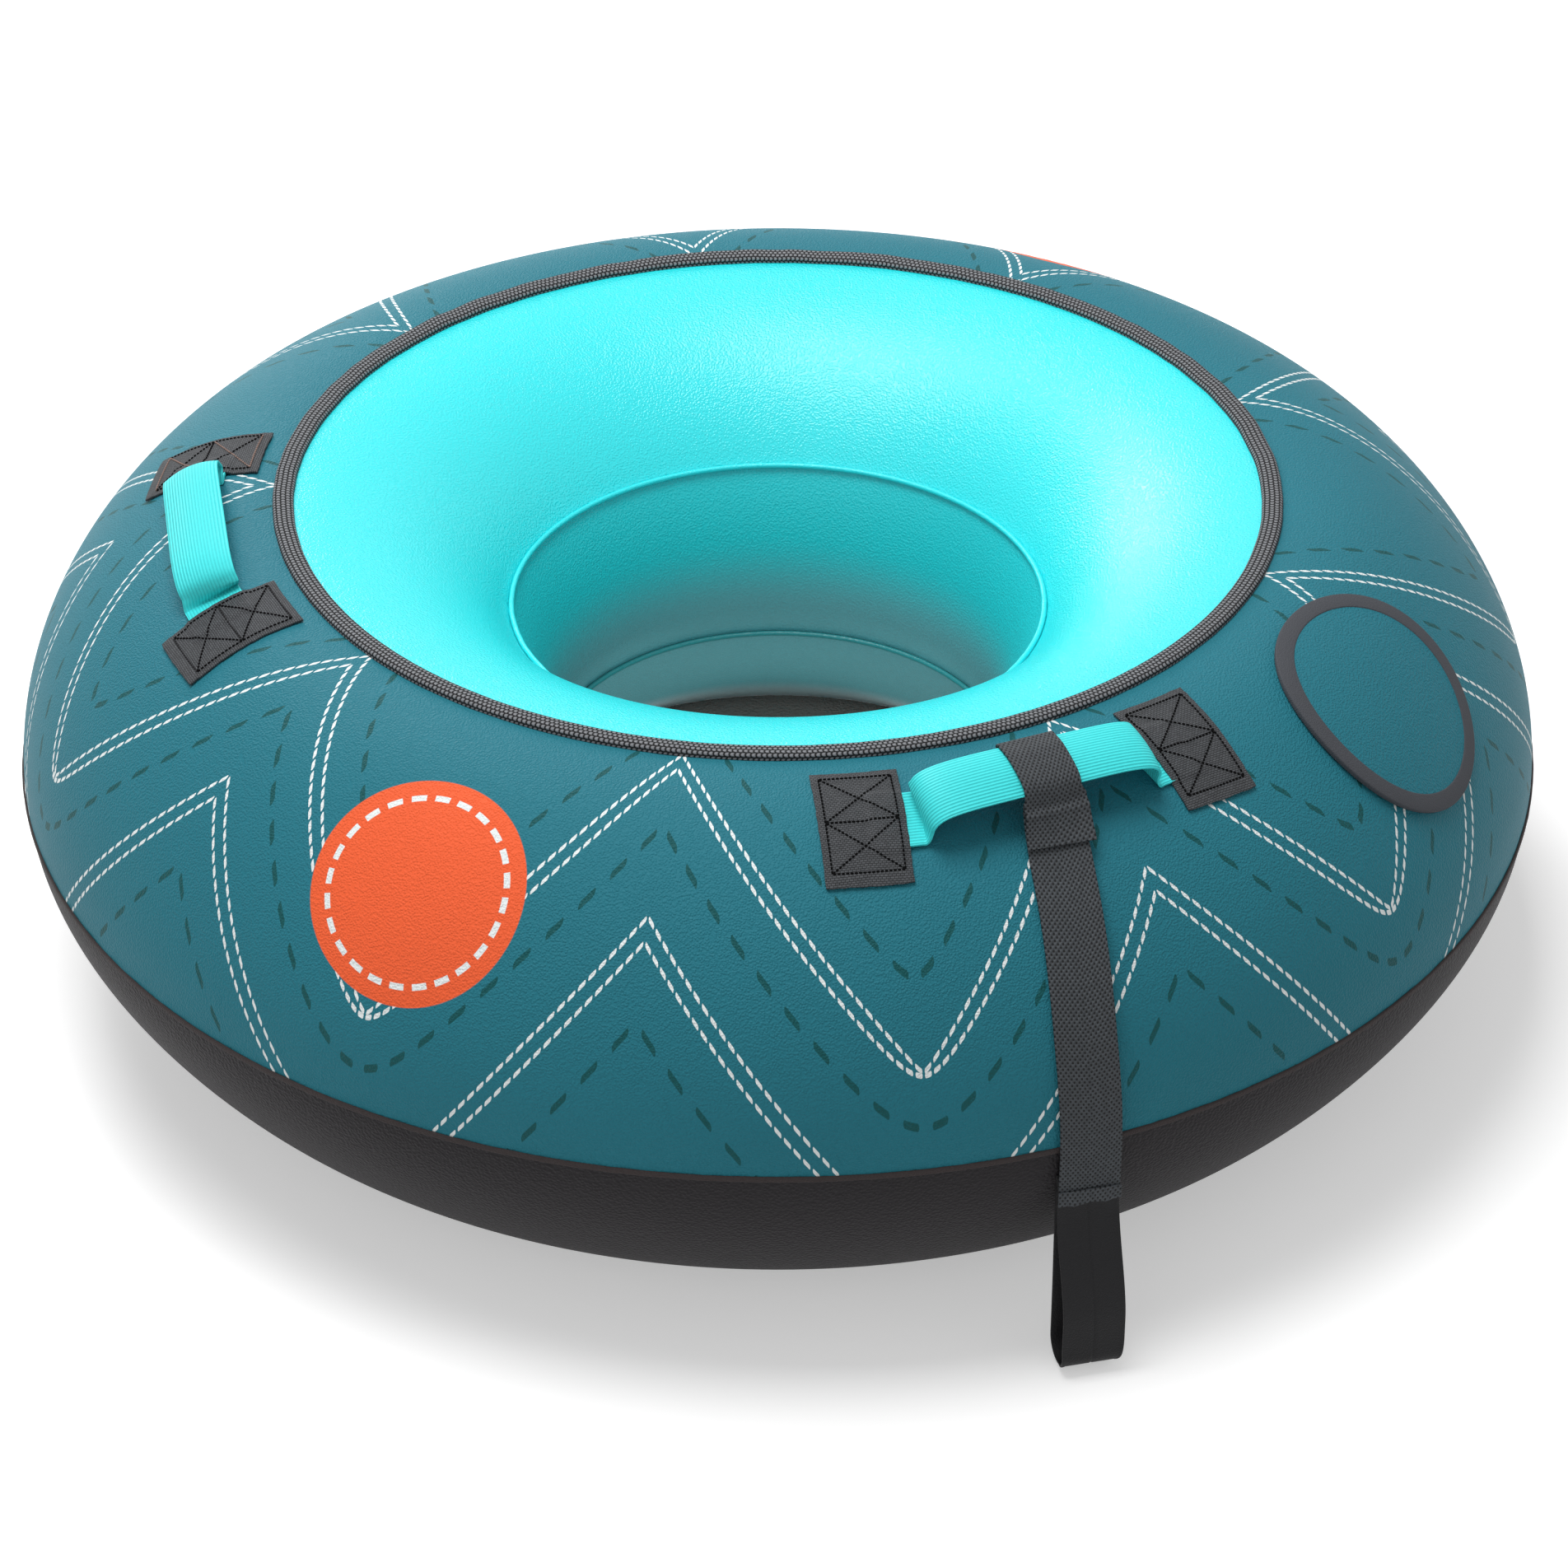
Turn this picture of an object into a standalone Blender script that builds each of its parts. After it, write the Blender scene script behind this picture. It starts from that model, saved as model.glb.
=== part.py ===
"""Snow tube: an inflated ring in a sewn cover, with a seat well, two webbing handles,
a tow strap with a hand loop, and a round flap over the valve."""

import bpy
import bmesh
from math import acos, ceil, cos, pi, radians, sin
from mathutils import Matrix, Vector

# Tube, in metres: the section is an ellipse whose quarters have unlike sizes,
# with the outer ones drawn in a little along their diagonals
TUBE_RADIUS = 0.500
CROWN_RADIUS = 0.333
THROAT_RADIUS = 0.151
UPPER_HALF_HEIGHT = 0.1787
LOWER_HALF_HEIGHT = 0.1580
UPPER_FLATTENING = 0.0265
LOWER_FLATTENING = 0.0320
LOWER_SKEW = 1.0
FOOT_HALF_ANGLE = radians(8)
AROUND = 40
SECTION_STEP = radians(19)

# Sewn seams of the cover: the rim lies inside the crown, the others outside the throat
RIM_INSET = 0.0130
UPPER_PIPING_STEP = 0.0261
LOWER_PIPING_STEP = 0.0028
FLOOR_SEAM_STEP = 0.0590
COVER_WALL = 0.0010
FLOOR_WALL = 0.0015
FLOOR_SEAM_ALLOWANCE = 0.0080
SEAM_GAP = 0.0003

# Inflated inner tube
INNER_TUBE_WALL = 0.0009

# Trim on the seams
BINDING_WIDTH = 0.0132
BINDING_RISE = 0.0042
BINDING_OUTLINE_SHARES = ((-1, 0), (-1, 0.55), (-0.62, 1), (0.62, 1), (1, 0.55), (1, 0), (0, 0))
PIPING_DIAMETER = 0.0036
PIPING_SIDES = 6
WELT_WIDTH = 0.0050
WELT_RISE = 0.0012

# Webbing handles, one in front and one at the left, turned about the tube's axis
FRONT_HANDLE_TURN = radians(-66.4)
LEFT_HANDLE_TURN = radians(188.55)
HANDLE_FROM_CROWN = 0.0485
PATCH_FROM_CROWN = 0.0470
PATCH_SPREAD_ANGLE = radians(16.2)
PATCH_WIDTH = 0.052
PATCH_LENGTH = 0.077
PATCH_THICKNESS = 0.0014
PATCH_LIFT = 0.0006
PATCH_COLUMNS = 4
PATCH_ROWS = 5
WEBBING_WIDTH = 0.038
HANDLE_THICKNESS = 0.0016
HANDLE_RISE = 0.027
HANDLE_HALF_SPAN = 0.069
HANDLE_SQUARENESS = 6
HANDLE_STATIONS = 17
GRIP_START_HEIGHT = 0.0105
FOOT_TOP_HEIGHT = 0.0125
FOOT_BEND_RADIUS = 0.004
BEND_STATIONS = 4

# Tow strap, hung from the front handle
STRAP_THICKNESS = 0.0018
COLLAR_CLEARANCE = 0.0008
COLLAR_CORNER_SHARE = 0.5
STRAP_TURN = radians(-2.45)
STRAP_TWIST = radians(-10)
TWIST_LENGTH = 0.045
STRAP_CONTACT_ANGLE = radians(46)
CONTACT_LIFT = 0.0036
SIDE_LIFT = 0.0054
FALL_PULL = 0.050
CONTACT_PULL = 0.090
FALL_STATIONS = 8
SKIN_STATIONS = 6
DROP_STATIONS = 3
STRAP_DROP = 0.042
TAIL_LENGTH = 0.030

# Hand loop, sewn behind the strap's lower end
LOOP_THICKNESS = 0.0022
LOOP_OVERLAP = 0.018
LOOP_HALF_GAP = 0.0120
LOOP_LEAN = 0.008
LOOP_GROUND_CLEARANCE = 0.0047
LOOP_OPENING_SHARE = 1.3
LOOP_STATIONS = 8
LOOP_BEND_STATIONS = 8

# Valve port in the top cover, its flap and the closing tapes
PORT_TURN = radians(-28)
PORT_FROM_CROWN = 0.1020
PORT_HOLE_RADIUS = 0.046
FLAP_RADIUS = 0.0775
FLAP_BINDING_WIDTH = 0.0115
FLAP_BINDING_THICKNESS = 0.0040
FLAP_BINDING_LIFT = 0.0008
FLAP_CORNER = 0.0012
FLAP_PANEL_THICKNESS = 0.0010
TAPE_THICKNESS = 0.0010
TAPE_LIFT = 0.0006
TAPE_WIDTH = 0.0110
TAPE_MARGIN = 0.0040
FLAP_STEPS = 32
FLAP_RINGS = 3

# Valve, turned about the port's axis
VALVE_FLANGE_RADIUS = 0.0220
VALVE_FLANGE_THICKNESS = 0.0010
VALVE_BARREL_RADIUS = 0.0115
VALVE_BORE_RADIUS = 0.0090
VALVE_DEPTH = 0.0180
INSERT_WALL = 0.0016
INSERT_DEPTH = 0.0120
MEMBRANE_THICKNESS = 0.0008
CAP_RADIUS = 0.0135
CAP_THICKNESS = 0.0016
CAP_PLUG_DEPTH = 0.0070
CAP_SLOT_WIDTH = 0.0022
CAP_SLOT_DEPTH = 0.0007
VALVE_STEPS = 24

# Allowances
CUT_OVERRUN = 0.030
WELD_DISTANCE = 0.00001
SMOOTHING_ANGLE = radians(40)

OUTER_HALF_WIDTH = TUBE_RADIUS - CROWN_RADIUS
INNER_HALF_WIDTH = CROWN_RADIUS - THROAT_RADIUS
EQUATOR_HEIGHT = LOWER_HALF_HEIGHT * cos(FOOT_HALF_ANGLE)
HALF_TURN = pi
FULL_TURN = 2 * pi
TOP_ANGLE = pi / 2
FOOT_ANGLE = 3 * pi / 2
RIM_RADIUS = CROWN_RADIUS - RIM_INSET
UPPER_PIPING_RADIUS = THROAT_RADIUS + UPPER_PIPING_STEP
LOWER_PIPING_RADIUS = THROAT_RADIUS + LOWER_PIPING_STEP
FLOOR_SEAM_RADIUS = THROAT_RADIUS + FLOOR_SEAM_STEP
HANDLE_SECTION_ANGLE = TOP_ANGLE - HANDLE_FROM_CROWN / OUTER_HALF_WIDTH
PATCH_SECTION_ANGLE = TOP_ANGLE - PATCH_FROM_CROWN / OUTER_HALF_WIDTH
PORT_SECTION_ANGLE = TOP_ANGLE - PORT_FROM_CROWN / OUTER_HALF_WIDTH
INNER_TUBE_LIFT = -(COVER_WALL + SEAM_GAP)


def well_angle(radius, below=False):
    """Section angle where the well's wall has this radius, above or below the throat."""
    angle = acos((radius - CROWN_RADIUS) / INNER_HALF_WIDTH)
    return FULL_TURN - angle if below else angle


RIM_ANGLE = well_angle(RIM_RADIUS)
UPPER_PIPING_ANGLE = well_angle(UPPER_PIPING_RADIUS)
LOWER_PIPING_ANGLE = well_angle(LOWER_PIPING_RADIUS, below=True)
FLOOR_SEAM_ANGLE = well_angle(FLOOR_SEAM_RADIUS, below=True)
FOOT_START_ANGLE = FOOT_ANGLE - FOOT_HALF_ANGLE
FOOT_END_ANGLE = FOOT_ANGLE + FOOT_HALF_ANGLE


# Section of the tube and places on its skin

def half_width_at(angle):
    return OUTER_HALF_WIDTH if cos(angle) > 0 else INNER_HALF_WIDTH


def half_height_at(angle):
    return UPPER_HALF_HEIGHT if sin(angle) > 0 else LOWER_HALF_HEIGHT


def fullness(angle):
    """Share of the ellipse that the section fills, and its rate of change."""
    if cos(angle) <= 0:
        return 1, 0
    flattening, skew = (UPPER_FLATTENING, 0) if sin(angle) > 0 else (LOWER_FLATTENING, LOWER_SKEW)
    double = 2 * angle
    share = 1 - flattening * sin(double) ** 2 * (1 + skew * cos(double))
    change = -2 * flattening * (sin(2 * double) * (1 + skew * cos(double)) - skew * sin(double) ** 3)
    return share, change


def section_rate(angle):
    """Change of the section's radius and height for each radian of section angle."""
    share, change = fullness(angle)
    return Vector((half_width_at(angle) * (cos(angle) * change - sin(angle) * share),
                   half_height_at(angle) * (sin(angle) * change + cos(angle) * share)))


def section_normal(angle):
    """Outward normal of the section, as radius and height."""
    rate = section_rate(angle)
    return Vector((rate.y, -rate.x)).normalized()


def section(angle, lift=0.0):
    """Radius and height of a section point that stands lift outside the skin."""
    share, _ = fullness(angle)
    normal = section_normal(angle)
    radius = CROWN_RADIUS + half_width_at(angle) * cos(angle) * share + lift * normal.x
    height = EQUATOR_HEIGHT + half_height_at(angle) * sin(angle) * share + lift * normal.y
    return radius, height


def section_speed(angle):
    """Length along the section for each radian of section angle."""
    return section_rate(angle).length


def outward(turn):
    return Vector((cos(turn), sin(turn), 0))


def sideways(turn):
    return Vector((-sin(turn), cos(turn), 0))


def skin_point(turn, angle, lift=0.0):
    radius, height = section(angle, lift)
    return outward(turn) * radius + Vector((0, 0, height))


def skin_frame(turn, angle, lift=0.0):
    """Matrix at a place on the skin: X along the tube, Y up the section, Z outward."""
    normal = section_normal(angle)
    across = sideways(turn)
    out = outward(turn) * normal.x + Vector((0, 0, normal.y))
    up = out.cross(across)
    frame = Matrix((across, up, out)).transposed().to_4x4()
    frame.translation = skin_point(turn, angle, lift)
    return frame


def laid_on_skin(turn, angle):
    """Function that lays a flat pattern (across, up the section, lift) on the skin."""
    def place(x, y, z):
        here = angle + y / section_speed(angle)
        radius, _ = section(here)
        return skin_point(turn + x / radius, here, z)
    return place


def spread(breaks):
    """Section angles through all breaks, no two further apart than one step."""
    angles = [breaks[0]]
    for start, end in zip(breaks, breaks[1:]):
        count = ceil((end - start) / SECTION_STEP)
        angles += [start + (end - start) * i / count for i in range(1, count + 1)]
    return angles


# Scene, materials and mesh helpers

def clear_scene():
    for obj in list(bpy.data.objects):
        bpy.data.objects.remove(obj, do_unlink=True)


def new_collection(name):
    collection = bpy.data.collections.new(name)
    bpy.context.scene.collection.children.link(collection)
    return collection


def finish(name, colour, roughness):
    material = bpy.data.materials.new(name)
    material.use_nodes = True
    shader = material.node_tree.nodes["Principled BSDF"]
    shader.inputs["Base Color"].default_value = (*colour, 1)
    shader.inputs["Roughness"].default_value = roughness
    shader.inputs["Metallic"].default_value = 0
    return material


def add_part(name, mesh, colour, roughness, frame=None):
    """Object with its own finish, placed by its frame."""
    part = bpy.data.objects.new(name, mesh)
    mesh.materials.append(finish(name, colour, roughness))
    parts.objects.link(part)
    if frame is not None:
        part.matrix_world = frame
    return part


def mesh_from(bm, name):
    bmesh.ops.recalc_face_normals(bm, faces=bm.faces[:])
    if bm.calc_volume(signed=True) < 0:
        bmesh.ops.reverse_faces(bm, faces=bm.faces[:])
    mesh = bpy.data.meshes.new(name)
    bm.to_mesh(mesh)
    bm.free()
    mesh.shade_smooth()
    mesh.set_sharp_from_angle(angle=SMOOTHING_ANGLE)
    return mesh


def clockwise(points):
    """The loop's points, ordered so that its outer side runs downward."""
    doubled_area = 0
    for (x0, z0), (x1, z1) in zip(points, points[1:] + points[:1]):
        doubled_area += x0 * z1 - x1 * z0
    return points[::-1] if doubled_area > 0 else points


def turned(name, outline, steps, colour, roughness, frame=None, closed=True):
    """A closed outline, or one that starts and ends on the axis, turned about Z."""
    points = clockwise(outline)
    if not closed:
        start = next(i for i, p in enumerate(points) if p[0] == 0 and points[i - 1][0] == 0)
        points = points[start:] + points[:start]
    mesh = bpy.data.meshes.new(name)
    edges = [(i, i + 1) for i in range(len(points) - 1)]
    if closed:
        edges.append((len(points) - 1, 0))
    mesh.from_pydata([(x, 0, z) for x, z in points], edges, [])
    part = add_part(name, mesh, colour, roughness, frame)
    screw = part.modifiers.new("turn", "SCREW")
    screw.steps = steps
    screw.render_steps = steps
    screw.use_merge_vertices = True
    screw.merge_threshold = WELD_DISTANCE
    return part


def spun_pattern(outline, closed=True):
    """A flat round pattern about Z, ready to be laid on the skin."""
    bm = bmesh.new()
    verts = [bm.verts.new((x, 0, z)) for x, z in outline]
    pairs = list(zip(verts, verts[1:]))
    if closed:
        pairs.append((verts[-1], verts[0]))
    edges = [bm.edges.new(pair) for pair in pairs]
    bmesh.ops.spin(bm, geom=verts + edges, axis=(0, 0, 1), cent=(0, 0, 0), angle=FULL_TURN,
                   steps=FLAP_STEPS, use_merge=True)
    bmesh.ops.remove_doubles(bm, verts=bm.verts[:], dist=WELD_DISTANCE)
    return bm


def slab_pattern(columns, rows):
    """A unit slab: across from -0.5 to 0.5, along from -0.5 to 0.5, thick from 0 to 1."""
    bm = bmesh.new()
    bmesh.ops.create_grid(bm, x_segments=columns, y_segments=rows, size=0.5)
    raised = bmesh.ops.extrude_face_region(bm, geom=bm.faces[:])
    for item in raised["geom"]:
        if isinstance(item, bmesh.types.BMVert):
            item.co.z = 1
    return bm


def bent(bm, place):
    """Move each point of a pattern to where place puts it."""
    for vert in bm.verts:
        vert.co = place(*vert.co)
    return bm


def ribbon(stations, width, thickness, rise=0.0):
    """A band along stations of (middle, across), its thickness shared about the middle."""
    last = len(stations) - 1
    middles = [middle for middle, _ in stations]

    def place(x, y, z):
        i = round((y + 0.5) * last)
        along = middles[min(i + 1, last)] - middles[max(i - 1, 0)]
        across = stations[i][1]
        out = across.cross(along).normalized()
        return middles[i] + across * (x * width) + out * ((z - 0.5) * thickness + rise)

    return bent(slab_pattern(1, last), place)


def cut(part, cutter):
    cutter.hide_render = True
    cutter.display_type = "WIRE"
    boolean = part.modifiers.new("cut", "BOOLEAN")
    boolean.operation = "DIFFERENCE"
    boolean.solver = "EXACT"
    boolean.object = cutter


def rod_cutter(name, radius, half_length, frame, steps):
    bm = bmesh.new()
    bmesh.ops.create_cone(bm, cap_ends=True, segments=steps, radius1=radius, radius2=radius,
                          depth=2 * half_length)
    mesh = bpy.data.meshes.new(name)
    bm.to_mesh(mesh)
    bm.free()
    cutter = bpy.data.objects.new(name, mesh)
    cutters.objects.link(cutter)
    cutter.matrix_world = frame
    return cutter


def hinge_empty(name, point):
    empty = bpy.data.objects.new(name, None)
    parts.objects.link(empty)
    empty.location = point
    return empty


def hang_on(empty, *pieces):
    """Parent pieces to the empty on their joint's axis, without moving them."""
    bpy.context.view_layer.update()
    for piece in pieces:
        piece.parent = empty
        piece.matrix_parent_inverse = empty.matrix_world.inverted()


# Colours seen on the object
TEAL = (0.030, 0.165, 0.205)
CYAN = (0.060, 0.720, 0.790)
WELL_TEAL = (0.070, 0.330, 0.350)
BLACK_FABRIC = (0.030, 0.026, 0.028)
GREY_WEBBING = (0.090, 0.092, 0.098)
PATCH_GREY = (0.052, 0.054, 0.060)
DARK_WEBBING = (0.040, 0.047, 0.055)
LOOP_BLACK = (0.018, 0.018, 0.020)
TAPE_BLACK = (0.015, 0.015, 0.016)
VINYL_GREY = (0.250, 0.260, 0.270)
VALVE_WHITE = (0.600, 0.600, 0.590)


# Cover, trim and inner tube

def shell_outline(breaks, lift, wall):
    """Closed outline of a wall between two seams, half a seam gap short of each."""
    trim = SEAM_GAP / (2 * LOWER_HALF_HEIGHT)
    angles = spread(breaks)
    angles[0] += trim
    angles[-1] -= trim
    outer = [section(a, lift) for a in angles]
    inner = [section(a, lift - wall) for a in reversed(angles)]
    return outer + inner


def make_cover():
    walls = (
        ("top_cover", (0, RIM_ANGLE), TEAL, 0.55),
        ("seat_panel", (RIM_ANGLE, UPPER_PIPING_ANGLE), CYAN, 0.35),
        ("throat_panel", (UPPER_PIPING_ANGLE, LOWER_PIPING_ANGLE), CYAN, 0.40),
        ("lower_wall_panel", (LOWER_PIPING_ANGLE, FLOOR_SEAM_ANGLE), WELL_TEAL, 0.45),
        ("bottom_shell", (FLOOR_SEAM_ANGLE, FOOT_START_ANGLE, FOOT_END_ANGLE, FULL_TURN),
         BLACK_FABRIC, 0.60),
    )
    made = {}
    for name, breaks, colour, roughness in walls:
        outline = shell_outline(breaks, 0, COVER_WALL)
        made[name] = turned(name, outline, AROUND, colour, roughness)
    return made


def make_floor_panel():
    """Closed floor of the well, pressed thin towards the seam at its edge."""
    rise = FLOOR_WALL / (LOWER_HALF_HEIGHT * abs(cos(FLOOR_SEAM_ANGLE)))
    top_radius, top_height = section(FLOOR_SEAM_ANGLE - rise, SEAM_GAP)
    low_radius, low_height = section(FLOOR_SEAM_ANGLE, SEAM_GAP)
    edge_height = (top_height + low_height) / 2
    edge_radius = (top_radius + low_radius) / 2
    outline = [(0, top_height), (top_radius - FLOOR_SEAM_ALLOWANCE, top_height),
               (edge_radius, edge_height), (low_radius, low_height), (0, low_height)]
    return turned("floor_panel", outline, AROUND, BLACK_FABRIC, 0.70, closed=False)


def make_rim_binding():
    half_angle = BINDING_WIDTH / 2 / section_speed(RIM_ANGLE)
    outline = [section(RIM_ANGLE - across * half_angle, SEAM_GAP + rise * BINDING_RISE)
               for across, rise in BINDING_OUTLINE_SHARES]
    return turned("rim_binding", outline, AROUND, GREY_WEBBING, 0.80)


def make_piping(name, angle, colour):
    radius = PIPING_DIAMETER / 2
    middle = Vector(section(angle, radius + SEAM_GAP))
    outline = []
    for i in range(PIPING_SIDES):
        turn = FULL_TURN * i / PIPING_SIDES
        outline.append((middle.x + radius * cos(turn), middle.y + radius * sin(turn)))
    return turned(name, outline, AROUND, colour, 0.40)


def make_side_welt():
    half_angle = WELT_WIDTH / 2 / section_speed(0)
    angles = (-half_angle, 0, half_angle)
    outline = [section(a, SEAM_GAP + WELT_RISE) for a in angles]
    outline += [section(a, SEAM_GAP) for a in reversed(angles)]
    return turned("side_welt", outline, AROUND, BLACK_FABRIC, 0.70)


def make_inner_tube():
    """The bladder, a closed ring with a thin wall, opened only where the valve passes."""
    seams = (0, RIM_ANGLE, UPPER_PIPING_ANGLE, LOWER_PIPING_ANGLE, FLOOR_SEAM_ANGLE,
             FOOT_START_ANGLE, FOOT_END_ANGLE, FULL_TURN)
    outline = [section(a, INNER_TUBE_LIFT) for a in spread(seams)[:-1]]
    tube = turned("inner_tube", outline, AROUND, VINYL_GREY, 0.45)
    wall = tube.modifiers.new("wall", "SOLIDIFY")
    wall.thickness = INNER_TUBE_WALL
    wall.offset = -1
    wall.use_even_offset = True
    return tube


# Handles

def handle_frame(turn):
    """Place midway between the handle's feet: X along the handle, Y up the section, Z out."""
    radius, _ = section(HANDLE_SECTION_ANGLE)
    foot_turn = PATCH_SPREAD_ANGLE - PATCH_WIDTH / 2 / radius
    frame = skin_frame(turn, HANDLE_SECTION_ANGLE)
    frame.translation -= outward(turn) * (radius * (1 - cos(foot_turn)))
    return frame


def leg_reach(height, grow):
    """Half length of the arch at a height, for an arch grown outward all round."""
    share = height / (HANDLE_RISE + grow)
    return (HANDLE_HALF_SPAN + grow) * (1 - share ** HANDLE_SQUARENESS) ** (1 / HANDLE_SQUARENESS)


def make_patch(name, turn):
    place = laid_on_skin(turn, PATCH_SECTION_ANGLE)
    pattern = slab_pattern(PATCH_COLUMNS, PATCH_ROWS)
    bent(pattern, lambda x, y, z: place(x * PATCH_WIDTH, y * PATCH_LENGTH,
                                        PATCH_LIFT + z * PATCH_THICKNESS))
    return add_part(name, mesh_from(pattern, name), PATCH_GREY, 0.85)


def make_foot(name, turn, side):
    """Band end: flat beside its patch, then bent up outside the end of the grip."""
    frame = handle_frame(turn)
    grow = HANDLE_THICKNESS + 2 * SEAM_GAP
    lift = PATCH_LIFT + HANDLE_THICKNESS / 2
    beside_patch = laid_on_skin(turn + side * PATCH_SPREAD_ANGLE, PATCH_SECTION_ANGLE)
    edge_x = -side * (PATCH_WIDTH / 2 + 2 * SEAM_GAP)
    edge_y = (HANDLE_SECTION_ANGLE - PATCH_SECTION_ANGLE) * section_speed(PATCH_SECTION_ANGLE)
    edge = beside_patch(edge_x, edge_y, lift)
    edge_across = (beside_patch(edge_x, edge_y - WEBBING_WIDTH / 2, lift)
                   - beside_patch(edge_x, edge_y + WEBBING_WIDTH / 2, lift)).normalized()
    across = -frame.col[1].to_3d()
    stations = [(edge, edge_across)]
    edge_local = frame.inverted() @ edge
    bend_x = leg_reach(0, grow) + FOOT_BEND_RADIUS
    bend_z = edge_local.z + FOOT_BEND_RADIUS
    for i in range(BEND_STATIONS):
        angle = FOOT_ANGLE - TOP_ANGLE * i / (BEND_STATIONS - 1)
        x = bend_x + FOOT_BEND_RADIUS * cos(angle)
        z = bend_z + FOOT_BEND_RADIUS * sin(angle)
        stations.append((frame @ Vector((side * x, 0, z)), across))
    top = Vector((side * leg_reach(FOOT_TOP_HEIGHT, grow), 0, FOOT_TOP_HEIGHT))
    stations.append((frame @ top, across))
    bm = ribbon(stations, WEBBING_WIDTH, HANDLE_THICKNESS)
    return add_part(name, mesh_from(bm, name), CYAN, 0.60)


def make_grip(name, turn):
    """The raised band of a handle, a square-shouldered arch."""
    frame = handle_frame(turn)
    across = -frame.col[1].to_3d()
    start = (GRIP_START_HEIGHT / HANDLE_RISE) ** (HANDLE_SQUARENESS / 2)
    first = TOP_ANGLE - acos(start)
    stations = []
    for i in range(HANDLE_STATIONS):
        angle = first + (HALF_TURN - 2 * first) * i / (HANDLE_STATIONS - 1)
        height = HANDLE_RISE * sin(angle) ** (2 / HANDLE_SQUARENESS)
        reach = HANDLE_HALF_SPAN * abs(cos(angle)) ** (2 / HANDLE_SQUARENESS)
        side = 1 if cos(angle) > 0 else -1
        stations.append((frame @ Vector((side * reach, 0, height)), across))
    bm = ribbon(stations, WEBBING_WIDTH, HANDLE_THICKNESS)
    return add_part(name, mesh_from(bm, name), CYAN, 0.60)


def make_handle(label, turn, sides):
    for side, side_name in sides:
        make_patch(f"{label}_patch_{side_name}", turn + side * PATCH_SPREAD_ANGLE)
        make_foot(f"{label}_foot_{side_name}", turn, side)
    grip = make_grip(f"{label}_grip", turn)
    hang_on(hinge_empty(f"{label}_hinge", handle_frame(turn).translation), grip)


# Tow strap and hand loop

def collar_reach():
    """Half width and half height of the collar outside the grip's band."""
    wall = COLLAR_CLEARANCE + STRAP_THICKNESS
    return WEBBING_WIDTH / 2 + wall, HANDLE_THICKNESS / 2 + wall


def make_collar():
    """Turn of the strap round the grip, an oblong ring as long as the strap is wide."""
    frame = handle_frame(FRONT_HANDLE_TURN)
    curve = bpy.data.curves.new("tow_collar", "CURVE")
    curve.dimensions = "2D"
    curve.fill_mode = "BOTH"
    curve.extrude = WEBBING_WIDTH / 2
    for wall in (0, STRAP_THICKNESS):
        half_wide, half_high = (size - wall for size in collar_reach())
        corner = half_high * COLLAR_CORNER_SHARE
        spline = curve.splines.new("POLY")
        shares = ((1, -1), (1, 1), (-1, 1), (-1, -1))
        points = []
        for x, y in shares:
            near_side = (x * half_wide, y * (half_high - corner))
            near_end = (x * (half_wide - corner), y * half_high)
            points += [near_side, near_end] if x * y > 0 else [near_end, near_side]
        spline.points.add(len(points) - 1)
        for point, (x, y) in zip(spline.points, points):
            point.co = (x, y, 0, 1)
        spline.use_cyclic_u = True
    shape = bpy.data.objects.new("tow_collar_outline", curve)
    cutters.objects.link(shape)
    lay = Matrix((-frame.col[1].to_3d(), frame.col[2].to_3d(), -frame.col[0].to_3d())).transposed()
    placed = lay.to_4x4()
    placed.translation = frame @ Vector((0, 0, HANDLE_RISE))
    bpy.context.view_layer.update()
    evaluated = shape.evaluated_get(bpy.context.evaluated_depsgraph_get())
    mesh = bpy.data.meshes.new_from_object(evaluated)
    bpy.data.objects.remove(shape, do_unlink=True)
    bm = bmesh.new()
    bm.from_mesh(mesh)
    bmesh.ops.remove_doubles(bm, verts=bm.verts[:], dist=WELD_DISTANCE)
    bmesh.ops.transform(bm, matrix=placed, verts=bm.verts[:])
    return add_part("tow_collar", mesh_from(bm, "tow_collar"), DARK_WEBBING, 0.80)


def strap_hinge():
    """Outer top corner of the strap, just below the collar's lower edge."""
    frame = handle_frame(FRONT_HANDLE_TURN)
    half_wide, half_high = collar_reach()
    corner = half_high * COLLAR_CORNER_SHARE
    lowest = frame @ Vector((0, corner - half_wide, HANDLE_RISE - half_high))
    outermost = frame @ Vector((0, -half_wide, HANDLE_RISE + half_high))
    radius = outermost.to_2d().length + SEAM_GAP
    return radius, lowest.z - SEAM_GAP


def eased(share):
    share = min(max(share, 0), 1)
    return share * share * (3 - 2 * share)


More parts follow.
